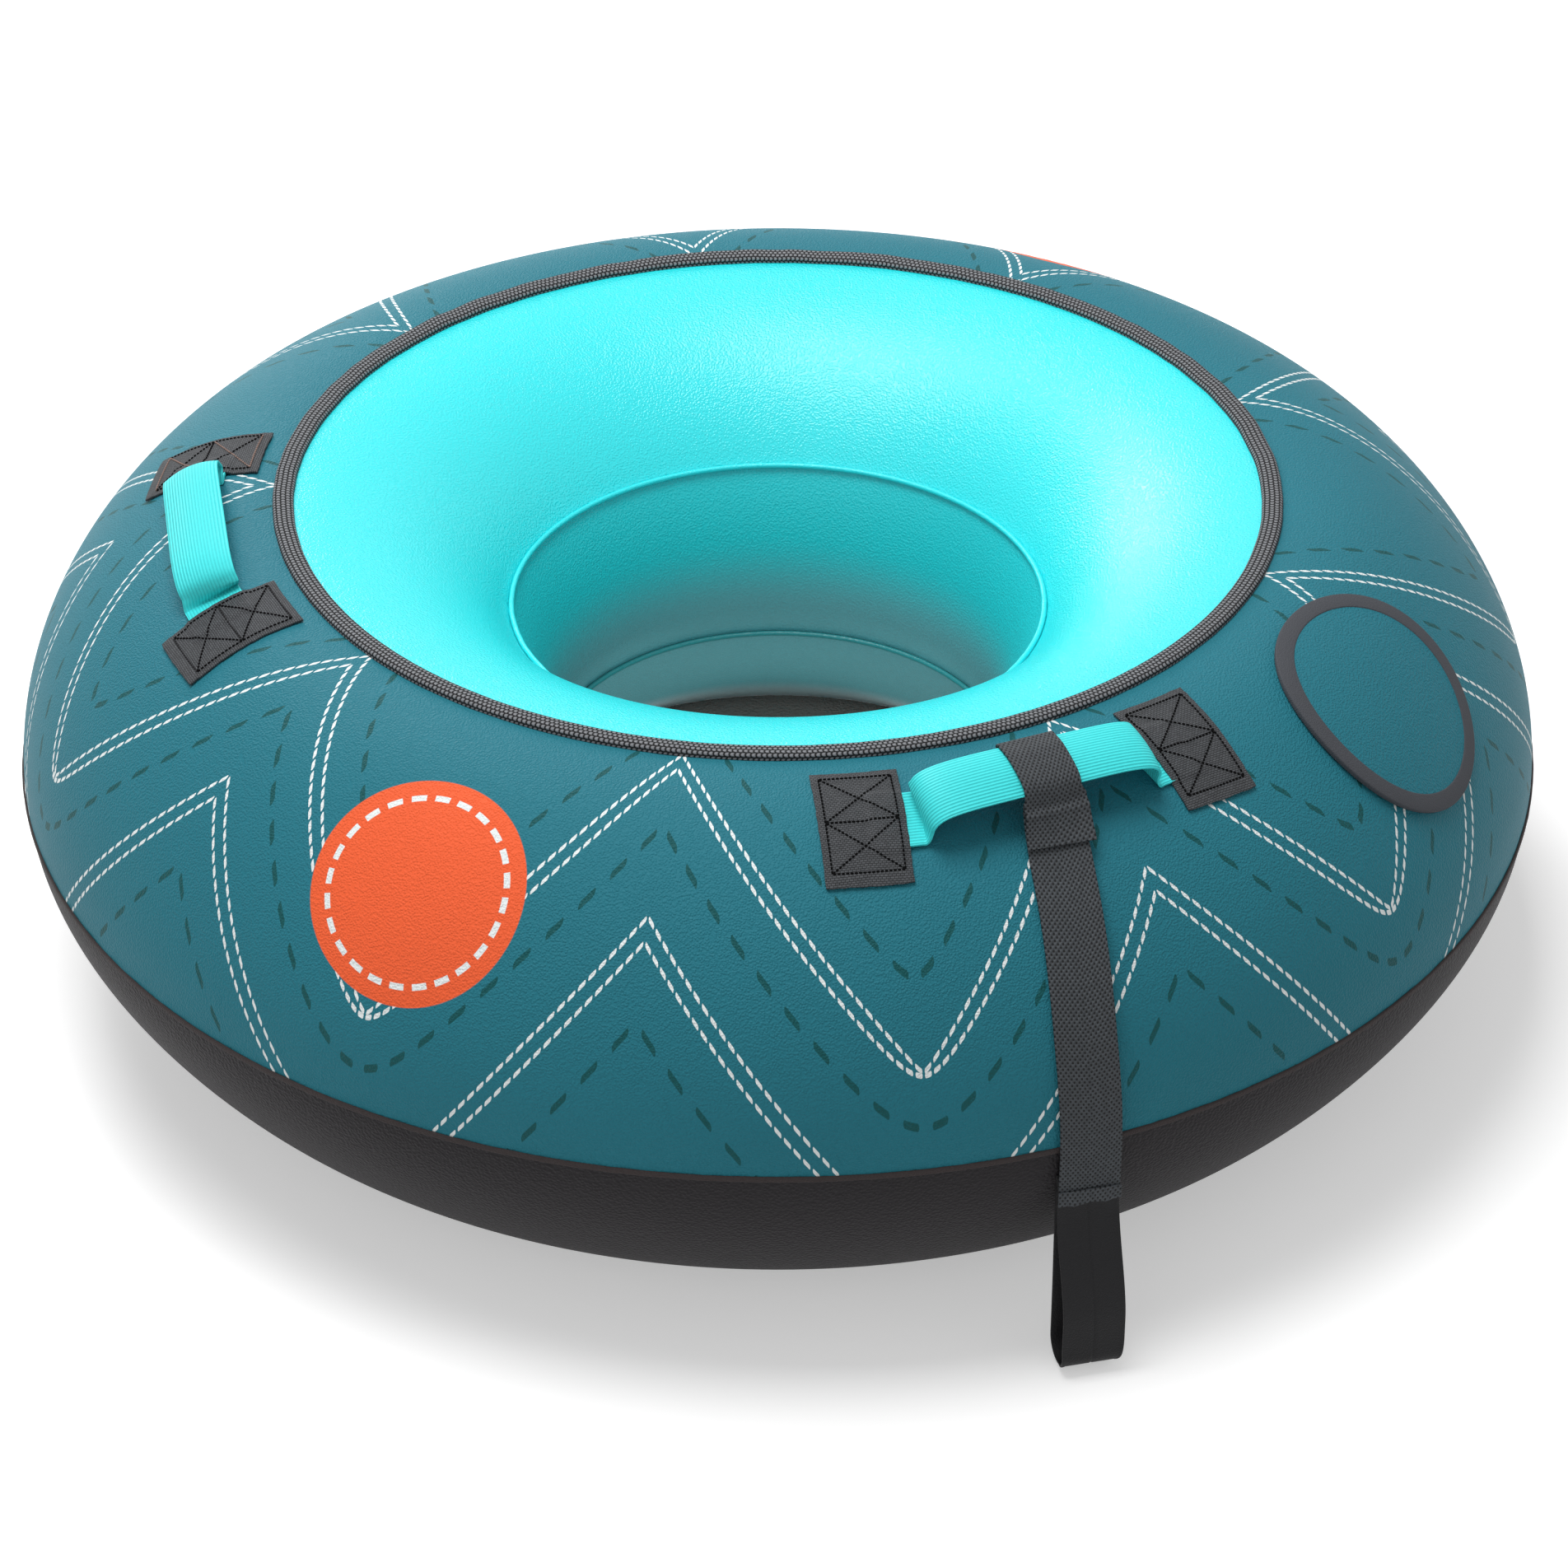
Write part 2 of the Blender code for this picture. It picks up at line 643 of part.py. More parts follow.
def strap_middles():
    """Radius and height along the strap: free fall, along the skin, then straight down."""
    hinge_radius, hinge_height = strap_hinge()
    behind_tail = STRAP_THICKNESS + SEAM_GAP
    start = Vector((hinge_radius - behind_tail - STRAP_THICKNESS / 2, hinge_height))
    contact = Vector(section(STRAP_CONTACT_ANGLE, CONTACT_LIFT))
    downhill = -section_rate(STRAP_CONTACT_ANGLE).normalized()
    fall = Vector((0, -FALL_PULL))
    middles = []
    for i in range(FALL_STATIONS):
        s = i / FALL_STATIONS
        middles.append(start * (2 * s ** 3 - 3 * s ** 2 + 1) + fall * (s ** 3 - 2 * s ** 2 + s)
                       + contact * (3 * s ** 2 - 2 * s ** 3)
                       + downhill * (CONTACT_PULL * (s ** 3 - s ** 2)))
    for i in range(SKIN_STATIONS):
        s = i / SKIN_STATIONS
        lift = CONTACT_LIFT + (SIDE_LIFT - CONTACT_LIFT) * s
        middles.append(Vector(section(STRAP_CONTACT_ANGLE * (1 - s), lift)))
    for i in range(DROP_STATIONS + 1):
        drop = STRAP_DROP * i / DROP_STATIONS
        middles.append(Vector((TUBE_RADIUS + SIDE_LIFT, EQUATOR_HEIGHT - drop)))
    return middles


def strap_stations():
    middles = strap_middles()
    start_radius = middles[0].x
    end_radius = middles[-1].x
    stations = []
    length = 0
    for i, middle in enumerate(middles):
        if i:
            length += (middle - middles[i - 1]).length
        share = (middle.x - start_radius) / (end_radius - start_radius)
        turn = FRONT_HANDLE_TURN + STRAP_TURN * share
        twist = FRONT_HANDLE_TURN + STRAP_TWIST * eased(length / TWIST_LENGTH)
        point = outward(turn) * middle.x + Vector((0, 0, middle.y))
        stations.append((point, -sideways(twist)))
    return stations


def make_tow_strap():
    stations = strap_stations()
    bm = ribbon(stations, WEBBING_WIDTH, STRAP_THICKNESS)
    strap = add_part("tow_strap", mesh_from(bm, "tow_strap"), DARK_WEBBING, 0.80)
    tail_stations = [stations[0]]
    length = 0
    for behind, ahead in zip(stations, stations[1:]):
        length += (ahead[0] - behind[0]).length
        if length > TAIL_LENGTH:
            break
        tail_stations.append(ahead)
    rise = STRAP_THICKNESS + SEAM_GAP
    tail_mesh = mesh_from(ribbon(tail_stations, WEBBING_WIDTH, STRAP_THICKNESS, rise), "tow_tail")
    tail = add_part("tow_tail", tail_mesh, DARK_WEBBING, 0.80)
    return strap, tail


def make_hand_loop():
    """Folded tape: down its back, round the bottom and up its front, both ends sewn together."""
    end_point, across = strap_stations()[-1]
    out = Vector((0, 0, 1)).cross(across)
    if out.dot(end_point) < 0:
        out.negate()
    seat = -(STRAP_THICKNESS / 2 + SEAM_GAP)
    half_start = (LOOP_THICKNESS + SEAM_GAP) / 2
    centre_start = seat - LOOP_THICKNESS - SEAM_GAP / 2
    top = end_point.z + LOOP_OVERLAP
    bend_height = LOOP_GROUND_CLEARANCE + LOOP_THICKNESS / 2 + LOOP_HALF_GAP
    side = [(centre_start, half_start, top)]
    free_top = end_point.z - SEAM_GAP
    for i in range(LOOP_STATIONS + 1):
        share = i / LOOP_STATIONS
        opened = eased(LOOP_OPENING_SHARE * share)
        half = half_start + (LOOP_HALF_GAP - half_start) * opened
        side.append((centre_start + LOOP_LEAN * opened, half,
                     free_top + (bend_height - free_top) * share))
    profile = [(centre - half, height) for centre, half, height in side]
    for i in range(1, LOOP_BEND_STATIONS):
        angle = HALF_TURN * (1 + i / LOOP_BEND_STATIONS)
        profile.append((side[-1][0] + LOOP_HALF_GAP * cos(angle),
                        bend_height + LOOP_HALF_GAP * sin(angle)))
    profile += [(centre + half, height) for centre, half, height in reversed(side)]
    base = Vector((end_point.x, end_point.y, 0))
    stations = [(base + out * offset + Vector((0, 0, height)), across) for offset, height in profile]
    bm = ribbon(stations, WEBBING_WIDTH, LOOP_THICKNESS)
    return add_part("hand_loop", mesh_from(bm, "hand_loop"), LOOP_BLACK, 0.55)


# Valve port, flap and valve

def ring_outline(inner, outer, low, high):
    return [(outer, high), (outer, low), (inner, low), (inner, high)]


def lay_round(name, outline, colour, roughness, closed=True):
    pattern = bent(spun_pattern(outline, closed), laid_on_skin(PORT_TURN, PORT_SECTION_ANGLE))
    return add_part(name, mesh_from(pattern, name), colour, roughness)


def make_flap():
    panel_radius = FLAP_RADIUS - FLAP_BINDING_WIDTH - SEAM_GAP
    tape_outer = panel_radius - TAPE_MARGIN
    tape_inner = tape_outer - TAPE_WIDTH
    loop_top = TAPE_LIFT + TAPE_THICKNESS
    hook_low = loop_top + SEAM_GAP
    hook_top = hook_low + TAPE_THICKNESS
    panel_low = hook_top + SEAM_GAP
    panel_top = panel_low + FLAP_PANEL_THICKNESS
    lay_round("port_tape", ring_outline(tape_inner, tape_outer, TAPE_LIFT, loop_top), TAPE_BLACK, 0.90)
    tape = lay_round("flap_tape", ring_outline(tape_inner, tape_outer, hook_low, hook_top),
                     TAPE_BLACK, 0.90)
    radii = [tape_inner * i / FLAP_RINGS for i in range(FLAP_RINGS + 1)] + [tape_outer, panel_radius]
    outline = [(r, panel_top) for r in radii] + [(r, panel_low) for r in reversed(radii)]
    panel = lay_round("flap_panel", outline, TEAL, 0.55, closed=False)
    inner = FLAP_RADIUS - FLAP_BINDING_WIDTH
    low = FLAP_BINDING_LIFT
    high = low + FLAP_BINDING_THICKNESS
    outline = [(inner + FLAP_CORNER, high), (FLAP_RADIUS - FLAP_CORNER, high),
               (FLAP_RADIUS, high - FLAP_CORNER), (FLAP_RADIUS, low), (inner, low),
               (inner, high - FLAP_CORNER)]
    binding = lay_round("flap_binding", outline, GREY_WEBBING, 0.75)
    edge = laid_on_skin(PORT_TURN, PORT_SECTION_ANGLE)(FLAP_RADIUS, 0, high)
    hang_on(hinge_empty("valve_flap_hinge", edge), tape, panel, binding)


def make_valve(top_cover, inner_tube):
    frame = skin_frame(PORT_TURN, PORT_SECTION_ANGLE)
    flange_low = INNER_TUBE_LIFT + 2 * SEAM_GAP
    flange_top = flange_low + VALVE_FLANGE_THICKNESS
    barrel_low = flange_low - VALVE_DEPTH
    base = [(VALVE_FLANGE_RADIUS, flange_top), (VALVE_FLANGE_RADIUS, flange_low),
            (VALVE_BARREL_RADIUS, flange_low), (VALVE_BARREL_RADIUS, barrel_low),
            (VALVE_BORE_RADIUS, barrel_low), (VALVE_BORE_RADIUS, flange_top)]
    turned("valve_base", base, VALVE_STEPS, VALVE_WHITE, 0.40, frame)
    insert_outer = VALVE_BORE_RADIUS - SEAM_GAP
    insert_inner = insert_outer - INSERT_WALL
    insert = ring_outline(insert_inner, insert_outer, flange_top - INSERT_DEPTH, flange_top)
    turned("valve_insert", insert, VALVE_STEPS, VALVE_WHITE, 0.40, frame)
    membrane_top = flange_top - INSERT_DEPTH - SEAM_GAP
    membrane = [(0, membrane_top), (insert_outer, membrane_top),
                (insert_outer, membrane_top - MEMBRANE_THICKNESS), (0, membrane_top - MEMBRANE_THICKNESS)]
    turned("valve_membrane", membrane, VALVE_STEPS, VINYL_GREY, 0.50, frame, closed=False)
    cap_low = flange_top + SEAM_GAP
    cap_top = cap_low + CAP_THICKNESS
    plug_radius = insert_inner - SEAM_GAP
    plug_low = cap_low - CAP_PLUG_DEPTH
    cap_outline = [(0, cap_top), (CAP_RADIUS, cap_top), (CAP_RADIUS, cap_low),
                   (plug_radius, cap_low), (plug_radius, plug_low), (0, plug_low)]
    cap = turned("valve_cap", cap_outline, VALVE_STEPS, VALVE_WHITE, 0.40, frame, closed=False)
    slot_mesh = bpy.data.meshes.new("cap_slot")
    bm = bmesh.new()
    slot_size = Vector((2 * CAP_RADIUS, CAP_SLOT_WIDTH, 2 * CAP_SLOT_DEPTH))
    bmesh.ops.create_cube(bm, size=1)
    bmesh.ops.scale(bm, vec=slot_size, verts=bm.verts[:])
    bm.to_mesh(slot_mesh)
    bm.free()
    slot = bpy.data.objects.new("cap_slot", slot_mesh)
    cutters.objects.link(slot)
    slot.matrix_world = frame @ Matrix.Translation((0, 0, cap_top))
    cut(cap, slot)
    port_cutter = rod_cutter("port_hole", PORT_HOLE_RADIUS, CUT_OVERRUN, frame, FLAP_STEPS)
    cut(top_cover, port_cutter)
    valve_cutter = rod_cutter("valve_hole", VALVE_BARREL_RADIUS + SEAM_GAP, CUT_OVERRUN, frame,
                              VALVE_STEPS)
    cut(inner_tube, valve_cutter)
    hang_on(hinge_empty("valve_axis", frame.translation), cap)


clear_scene()
parts = new_collection("snow_tube")
cutters = new_collection("cutters")

cover = make_cover()
make_floor_panel()
make_rim_binding()
make_piping("upper_piping", UPPER_PIPING_ANGLE, CYAN)
make_piping("lower_piping", LOWER_PIPING_ANGLE, WELL_TEAL)
make_side_welt()
bladder = make_inner_tube()
make_flap()
make_valve(cover["top_cover"], bladder)
make_handle("front_handle", FRONT_HANDLE_TURN, ((-1, "left"), (1, "right")))
make_handle("left_handle", LEFT_HANDLE_TURN, ((-1, "back"), (1, "front")))
collar = make_collar()
hang_on(bpy.data.objects["front_handle_hinge"], collar)
strap, tail = make_tow_strap()
loop = make_hand_loop()
hinge_radius, hinge_height = strap_hinge()
strap_axis_point = outward(FRONT_HANDLE_TURN) * hinge_radius + Vector((0, 0, hinge_height))
hang_on(hinge_empty("tow_strap_hinge", strap_axis_point), strap, tail, loop)
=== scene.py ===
"""Looks of a snow tube: printed cover, coated well, woven trim, webbing handles, tow strap."""

from math import acos, ceil, cos, hypot, pi, radians, sin

import bpy
import numpy as np
from mathutils import Matrix, Vector, noise


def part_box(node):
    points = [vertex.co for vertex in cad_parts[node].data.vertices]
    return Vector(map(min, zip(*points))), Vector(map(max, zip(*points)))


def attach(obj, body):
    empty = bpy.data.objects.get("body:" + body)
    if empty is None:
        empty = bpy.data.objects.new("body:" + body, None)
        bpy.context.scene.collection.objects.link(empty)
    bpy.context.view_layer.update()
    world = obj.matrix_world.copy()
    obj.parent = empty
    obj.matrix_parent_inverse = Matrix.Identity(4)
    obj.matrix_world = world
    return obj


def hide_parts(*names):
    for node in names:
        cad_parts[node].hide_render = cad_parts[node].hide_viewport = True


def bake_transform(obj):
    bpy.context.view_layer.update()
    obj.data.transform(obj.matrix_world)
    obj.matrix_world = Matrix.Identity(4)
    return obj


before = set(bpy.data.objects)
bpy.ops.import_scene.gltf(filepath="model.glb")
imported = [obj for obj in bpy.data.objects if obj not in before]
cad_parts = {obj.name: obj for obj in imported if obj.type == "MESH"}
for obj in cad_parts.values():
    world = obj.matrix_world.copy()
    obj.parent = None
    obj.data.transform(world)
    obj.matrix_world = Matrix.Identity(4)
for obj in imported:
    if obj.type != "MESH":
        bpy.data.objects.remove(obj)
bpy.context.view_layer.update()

# Tube, in metres, as in the frame: an elliptical section with unlike quarters
TUBE_RADIUS = 0.500
CROWN_RADIUS = 0.333
THROAT_RADIUS = 0.151
UPPER_HALF_HEIGHT = 0.1787
LOWER_HALF_HEIGHT = 0.1580
UPPER_FLATTENING = 0.0265
LOWER_FLATTENING = 0.0320
LOWER_SKEW = 1.0
FOOT_HALF_ANGLE = radians(8)
RIM_RADIUS = 0.3200
UPPER_PIPING_RADIUS = 0.1771
LOWER_PIPING_RADIUS = 0.1538
FLOOR_SEAM_RADIUS = 0.2100
COVER_WALL = 0.0010
SEAM_GAP = 0.0003
AROUND = 288
ALONG_STEP = 0.0055
WELD = 0.00001
PUCKER_RISE = 0.00035
PUCKER_REACH = 0.016
PUCKER_SCALE = 9
PUCKER_COARSE = 2.7
PUCKER_FINE = 7
FACE_SAMPLE_STEP = 97
ROUND_STEPS = 192
FLOOR_RINGS = 40
FLOOR_EDGE_DROP = 0.0008
FLOOR_RIPPLE = 0.0006
FLOOR_RIPPLE_SCALE = 14
BLADDER_WALL = 0.0009
BLADDER_STEPS = 160

# Trim
BINDING_WIDTH = 0.0136
BINDING_RISE = 0.0042
BINDING_SQUARENESS = 3.2
BINDING_POINTS = 26
BINDING_ROWS = 640
BINDING_COLUMN = 0.0032
BINDING_ARCH = 0.25
BINDING_WAVE = 0.0006
BINDING_SHAKE = 0.0002
BINDING_SWAY = 0.0004
PIPING_RADIUS = 0.0018
PIPING_SHAKE = 0.00025
HEM_WIDTH = 0.0036
HEM_RISE = 0.0011
HEM_POINTS = 8
HEM_SHOULDER = 2.2
HEM_SHAKE = 0.0002

# Handles
FRONT_HANDLE_TURN = radians(-66.4)
LEFT_HANDLE_TURN = radians(189.4)
HANDLE_SHIFTS = {FRONT_HANDLE_TURN: 0.0030, LEFT_HANDLE_TURN: -0.0025}
HANDLE_FROM_CROWN = 0.0485
PATCH_FROM_CROWN = 0.0490
PATCH_SPREAD_ANGLE = radians(16.2)
PATCH_WIDTH = 0.052
PATCH_LENGTH = 0.081
PATCH_THICKNESS = 0.0014
PATCH_HEM = 0.008
PATCH_LIFT = 0.0004
PATCH_CROWN = 0.0007
PATCH_OVER_BAND = 0.0015
PATCH_HEM_RISE = 0.0004
RIGHT_PATCH_TWIST = radians(-5)
FRAY = 0.0004
FRAY_REACH = 0.002
FRAY_SCALE = 260
SEAM_FROM_SIDE = 0.0045
SEAM_FROM_LOW_END = 0.0085
SEAM_FROM_HIGH_END = 0.0055
WEBBING_WIDTH = 0.038
BAND_EDGE = 0.0005
HANDLE_THICKNESS = 0.0016
HANDLE_RISE = 0.0245
HANDLE_HALF_SPAN = 0.0735
HANDLE_SQUARENESS = 5
# Across each grip's band: lift of its middle, arch and tip
HANDLE_CROSS_SHAPES = {FRONT_HANDLE_TURN: (0.0027, 0.0030, 0.0018),
                       LEFT_HANDLE_TURN: (0.0, 0.0045, 0.0)}
HANDLE_SAG = 0.0006
# Heights over the feet of two points above the handle's middle, worked out but not used
HANDLE_BLEND = (0.0020, 0.0140)
ARCH_POINTS = 24
LEG_HEIGHT = 0.0075
TUCK_LENGTH = 0.020
FOOT_REACHES = (-0.0105, -0.0065, -0.001, TUCK_LENGTH * 0.5, TUCK_LENGTH)
STITCH_PITCH = 0.0026
STITCH_LENGTH = 0.0021
THREAD_THICKNESS = 0.00135
THREAD_PROUD = 0.20

# Tow strap and hand loop
STRAP_THICKNESS = 0.0018
STRAP_TURN = radians(-2.45)
STRAP_TWIST = radians(-10)
TWIST_LENGTH = 0.045
STRAP_CONTACT_ANGLE = radians(46)
CONTACT_LIFT = 0.0036
SIDE_LIFT = 0.0054
FALL_PULL = 0.050
CONTACT_PULL = 0.090
FALL_STATIONS = 8
SKIN_STATIONS = 6
DROP_STATIONS = 3
STRAP_DROP = 0.038
STRAP_SWAY = radians(0.27)
SWAY_START = 0.12
SWAY_LENGTH = 0.10
STRAP_CUP = 0.0012
STRAP_WAVE = 0.0007
STRAP_HEM = 0.0100
TAIL_LENGTH = 0.030
# Length along the strap, and how far the tail stands over it there
TAIL_HUMPS = ((0.0030, 0), (0.0078, 0.0028), (0.0130, 0.0022), (0.0210, 0.0010),
              (TAIL_LENGTH, 0))
# How much wider the tail is, towards either side
TAIL_WIDER = (0.14, 0.05)
TAIL_FLARE = (0.10, 0.02)
COLLAR_CLEARANCE = 0.0008
COLLAR_CORNER_SHARE = 0.5
COLLAR_SLIMNESS = 0.965
# The way round the grip: half widths inward, gaps beyond them and gaps upward
COLLAR_TURNS = ((-0.98, 0, -1), (-0.5, 0, -1), (0.3, 0, -1), (0.9, 0, -1), (1, 0.8, -0.55),
                (1, 0.8, 0.55), (0.9, 0, 1), (0.4, 0, 1.25), (-0.4, 0, 1.25), (-0.92, 0, 1))
LOOP_THICKNESS = 0.0022
LOOP_OVERLAP = 0.018
LOOP_HALF_GAP = 0.0120
LOOP_LEAN = 0.012
LOOP_GROUND_CLEARANCE = 0.0030
LOOP_OPENING_SHARE = 1.3
LOOP_STEPS = 14
LOOP_CREASE = 0.0007
LOOP_EDGE_DROP = 0.0003
# How much narrower the loop is at its bend, towards either side
LOOP_BEND_TUCK = (0.22, 0.06)

# Port, flap and valve
PORT_TURN = radians(-28)
PORT_FROM_CROWN = 0.1020
PORT_HOLE_RADIUS = 0.046
FLAP_RADIUS = 0.0775
FLAP_BINDING_WIDTH = 0.0115
FLAP_BINDING_THICKNESS = 0.0040
FLAP_BINDING_LIFT = 0.0008
FLAP_PANEL_LIFT = 0.0032
FLAP_PANEL_THICKNESS = 0.0010
FLAP_BINDING_CORNER = 0.0010
FLAP_RINGS = 22
TAPE_WIDTH = 0.0110
TAPE_MARGIN = 0.0040
TAPE_THICKNESS = 0.0010
TAPE_LIFT = 0.0006
TAPE_CORNER = 0.0003
VALVE_FLANGE_RADIUS = 0.0220
VALVE_BARREL_RADIUS = 0.0115
VALVE_BORE_RADIUS = 0.0090
VALVE_DEPTH = 0.0180
CAP_RADIUS = 0.0135
CAP_THICKNESS = 0.0016
PLUG_LENGTH = 0.0070
FLANGE_THICKNESS = 0.0010
INSERT_WALL = 0.0016
INSERT_LENGTH = 0.0120
MEMBRANE_THICKNESS = 0.0008
VALVE_STEPS = 72

OUTER_HALF_WIDTH = TUBE_RADIUS - CROWN_RADIUS
INNER_HALF_WIDTH = CROWN_RADIUS - THROAT_RADIUS
EQUATOR_HEIGHT = LOWER_HALF_HEIGHT * cos(FOOT_HALF_ANGLE)
FULL_TURN = 2 * pi
TOP_ANGLE = pi / 2
HANDLE_SECTION_ANGLE = TOP_ANGLE - HANDLE_FROM_CROWN / OUTER_HALF_WIDTH
PATCH_SECTION_ANGLE = TOP_ANGLE - PATCH_FROM_CROWN / OUTER_HALF_WIDTH
PORT_SECTION_ANGLE = TOP_ANGLE - PORT_FROM_CROWN / OUTER_HALF_WIDTH


# Places on the tube

def well_angle(radius, below=False):
    """Section angle where the well's wall has this radius, above or below the throat."""
    angle = acos((radius - CROWN_RADIUS) / INNER_HALF_WIDTH)
    return FULL_TURN - angle if below else angle


RIM_ANGLE = well_angle(RIM_RADIUS)
UPPER_PIPING_ANGLE = well_angle(UPPER_PIPING_RADIUS)
LOWER_PIPING_ANGLE = well_angle(LOWER_PIPING_RADIUS, below=True)
FLOOR_SEAM_ANGLE = well_angle(FLOOR_SEAM_RADIUS, below=True)
FOOT_START_ANGLE = 3 * pi / 2 - FOOT_HALF_ANGLE
FOOT_END_ANGLE = 3 * pi / 2 + FOOT_HALF_ANGLE


def half_width_at(angle):
    return OUTER_HALF_WIDTH if cos(angle) > 0 else INNER_HALF_WIDTH


def half_height_at(angle):
    return UPPER_HALF_HEIGHT if sin(angle) > 0 else LOWER_HALF_HEIGHT


def fullness(angle):
    """Share of the ellipse that the section fills, and its rate of change."""
    if cos(angle) <= 0:
        return 1, 0
    flattening, skew = (UPPER_FLATTENING, 0) if sin(angle) > 0 else (LOWER_FLATTENING, LOWER_SKEW)
    double = 2 * angle
    share = 1 - flattening * sin(double) ** 2 * (1 + skew * cos(double))
    swell = sin(2 * double) * (1 + skew * cos(double)) - skew * sin(double) ** 3
    return share, -2 * flattening * swell


def section_rate(angle):
    """Change of the section's radius and height for each radian of section angle."""
    share, change = fullness(angle)
    return Vector((half_width_at(angle) * (cos(angle) * change - sin(angle) * share),
                   half_height_at(angle) * (sin(angle) * change + cos(angle) * share)))


def section_normal(angle):
    rate = section_rate(angle)
    return Vector((rate.y, -rate.x)).normalized()


def section(angle, lift=0.0):
    """Radius and height of a section point that stands lift outside the skin."""
    share, _ = fullness(angle)
    normal = section_normal(angle)
    radius = CROWN_RADIUS + half_width_at(angle) * cos(angle) * share + lift * normal.x
    height = EQUATOR_HEIGHT + half_height_at(angle) * sin(angle) * share + lift * normal.y
    return radius, height


def section_speed(angle):
    """Length along the section for each radian of section angle."""
    return section_rate(angle).length


def outward(turn):
    return Vector((cos(turn), sin(turn), 0))


def sideways(turn):
    return Vector((-sin(turn), cos(turn), 0))


def ring_point(turn, radius, height):
    return outward(turn) * radius + Vector((0, 0, height))


def turn_of(co):
    """Turn round the ring at which a point lies."""
    return np.arctan2(co.y, co.x)


def unevenness(turn, scale, layer):
    """Fixed noise that closes on itself round the ring."""
    return noise.noise(Vector((cos(turn) * scale, sin(turn) * scale, layer)))


def skin_normal(turn, angle):
    """Direction straight out of the skin."""
    return ring_point(turn, *section_normal(angle))


def skin_frame(turn, angle):
    """Matrix at a place on the skin: X along the tube, Y up the section, Z outward."""
    across = sideways(turn)
    out = skin_normal(turn, angle)
    place = Matrix((across, out.cross(across), out)).transposed().to_4x4()
    place.translation = ring_point(turn, *section(angle))
    return place


def laid_on_skin(turn, angle):
    """Function that lays a flat place (across, up the section, lift) on the skin."""
    def place(x, y, lift):
        here = angle + y / section_speed(angle)
        middle_radius, _ = section(here)
        return ring_point(turn + x / middle_radius, *section(here, lift))
    return place


def eased(share):
    share = min(max(share, 0), 1)
    return share * share * (3 - 2 * share)


PORT_FRAME = skin_frame(PORT_TURN, PORT_SECTION_ANGLE)
BAND_FROM_PATCH = (HANDLE_SECTION_ANGLE - PATCH_SECTION_ANGLE) * section_speed(PATCH_SECTION_ANGLE)


# Modelling helpers

def fresh(add, name, **settings):
    """Adds a primitive with nothing else selected, and gives its object."""
    bpy.ops.object.select_all(action="DESELECT")
    add(**settings)
    piece = bpy.context.object
    piece.name = name
    piece.data.name = name
    return piece


def choose(piece):
    bpy.ops.object.select_all(action="DESELECT")
    piece.select_set(True)
    bpy.context.view_layer.objects.active = piece


def apply_modifier(piece, kind, **settings):
    """Adds one modifier, sets it and applies it."""
    choose(piece)
    modifier = piece.modifiers.new(kind.lower(), kind)
    for name, value in settings.items():
        setattr(modifier, name, value)
    bpy.ops.object.modifier_apply(modifier=modifier.name)


def cut_away(piece, cutter):
    apply_modifier(piece, "BOOLEAN", operation="DIFFERENCE", solver="EXACT", object=cutter)
    bpy.data.objects.remove(cutter, do_unlink=True)


def cut_at_port(piece, radius, depth, vertices):
    """Cuts a round hole that stands on the skin at the port."""
    hole = fresh(bpy.ops.mesh.primitive_cylinder_add, "port_cutter", vertices=vertices,
                 radius=radius, depth=depth)
    hole.matrix_world = PORT_FRAME
    cut_away(piece, hole)


def shade(piece, angle=radians(40)):
    choose(piece)
    bpy.ops.object.shade_smooth_by_angle(angle=angle)


def edit_all(piece, edit, **settings):
    """Makes one edit on the whole of a piece."""
    choose(piece)
    bpy.ops.object.mode_set(mode="EDIT")
    bpy.ops.mesh.select_all(action="SELECT")
    edit(**settings)
    bpy.ops.object.mode_set(mode="OBJECT")


def face_outwards(piece):
    edit_all(piece, bpy.ops.mesh.normals_make_consistent, inside=False)


def turned(name, profile, steps=AROUND):
    """A profile of radius and height, drawn vertex by vertex and spun about the tube's axis."""
    piece = fresh(bpy.ops.mesh.primitive_plane_add, name, size=BINDING_WIDTH)
    bpy.ops.object.mode_set(mode="EDIT")
    bpy.ops.mesh.select_all(action="SELECT")
    bpy.ops.mesh.merge(type="CENTER")
    bpy.ops.transform.translate(value=(profile[0][0], 0, profile[0][1]))
    for (r0, z0), (r1, z1) in zip(profile, profile[1:]):
        step = (r1 - r0, 0, z1 - z0)
        bpy.ops.mesh.extrude_vertices_move(TRANSFORM_OT_translate={"value": step})
    bpy.ops.mesh.select_all(action="SELECT")
    bpy.ops.mesh.spin(steps=steps, angle=FULL_TURN, center=(0, 0, 0), axis=(0, 0, 1))
    bpy.ops.mesh.select_all(action="SELECT")
    bpy.ops.mesh.remove_doubles(threshold=WELD)
    bpy.ops.mesh.normals_make_consistent(inside=False)
    bpy.ops.object.mode_set(mode="OBJECT")
    return piece


def ridden(piece, body, slot, material, *nodes):
    """Sets the finish, the body and the CAD nodes that a piece stands for."""
    piece.data.materials.clear()
    piece.data.materials.append(material)
    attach(piece, body)
    if nodes:
        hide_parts(*nodes)


def spread(breaks):
    """Section angles through all breaks, close enough for a smooth wall."""
    angles = [breaks[0]]
    for start, end in zip(breaks, breaks[1:]):
        count = ceil((end - start) * UPPER_HALF_HEIGHT / ALONG_STEP)
        angles += [start + (end - start) * i / count for i in range(1, count + 1)]
    return angles


def move_points(piece, place):
    """Moves each vertex to where place puts it."""
    for vertex in piece.data.vertices:
        vertex.co = place(vertex.co)
    piece.data.update()


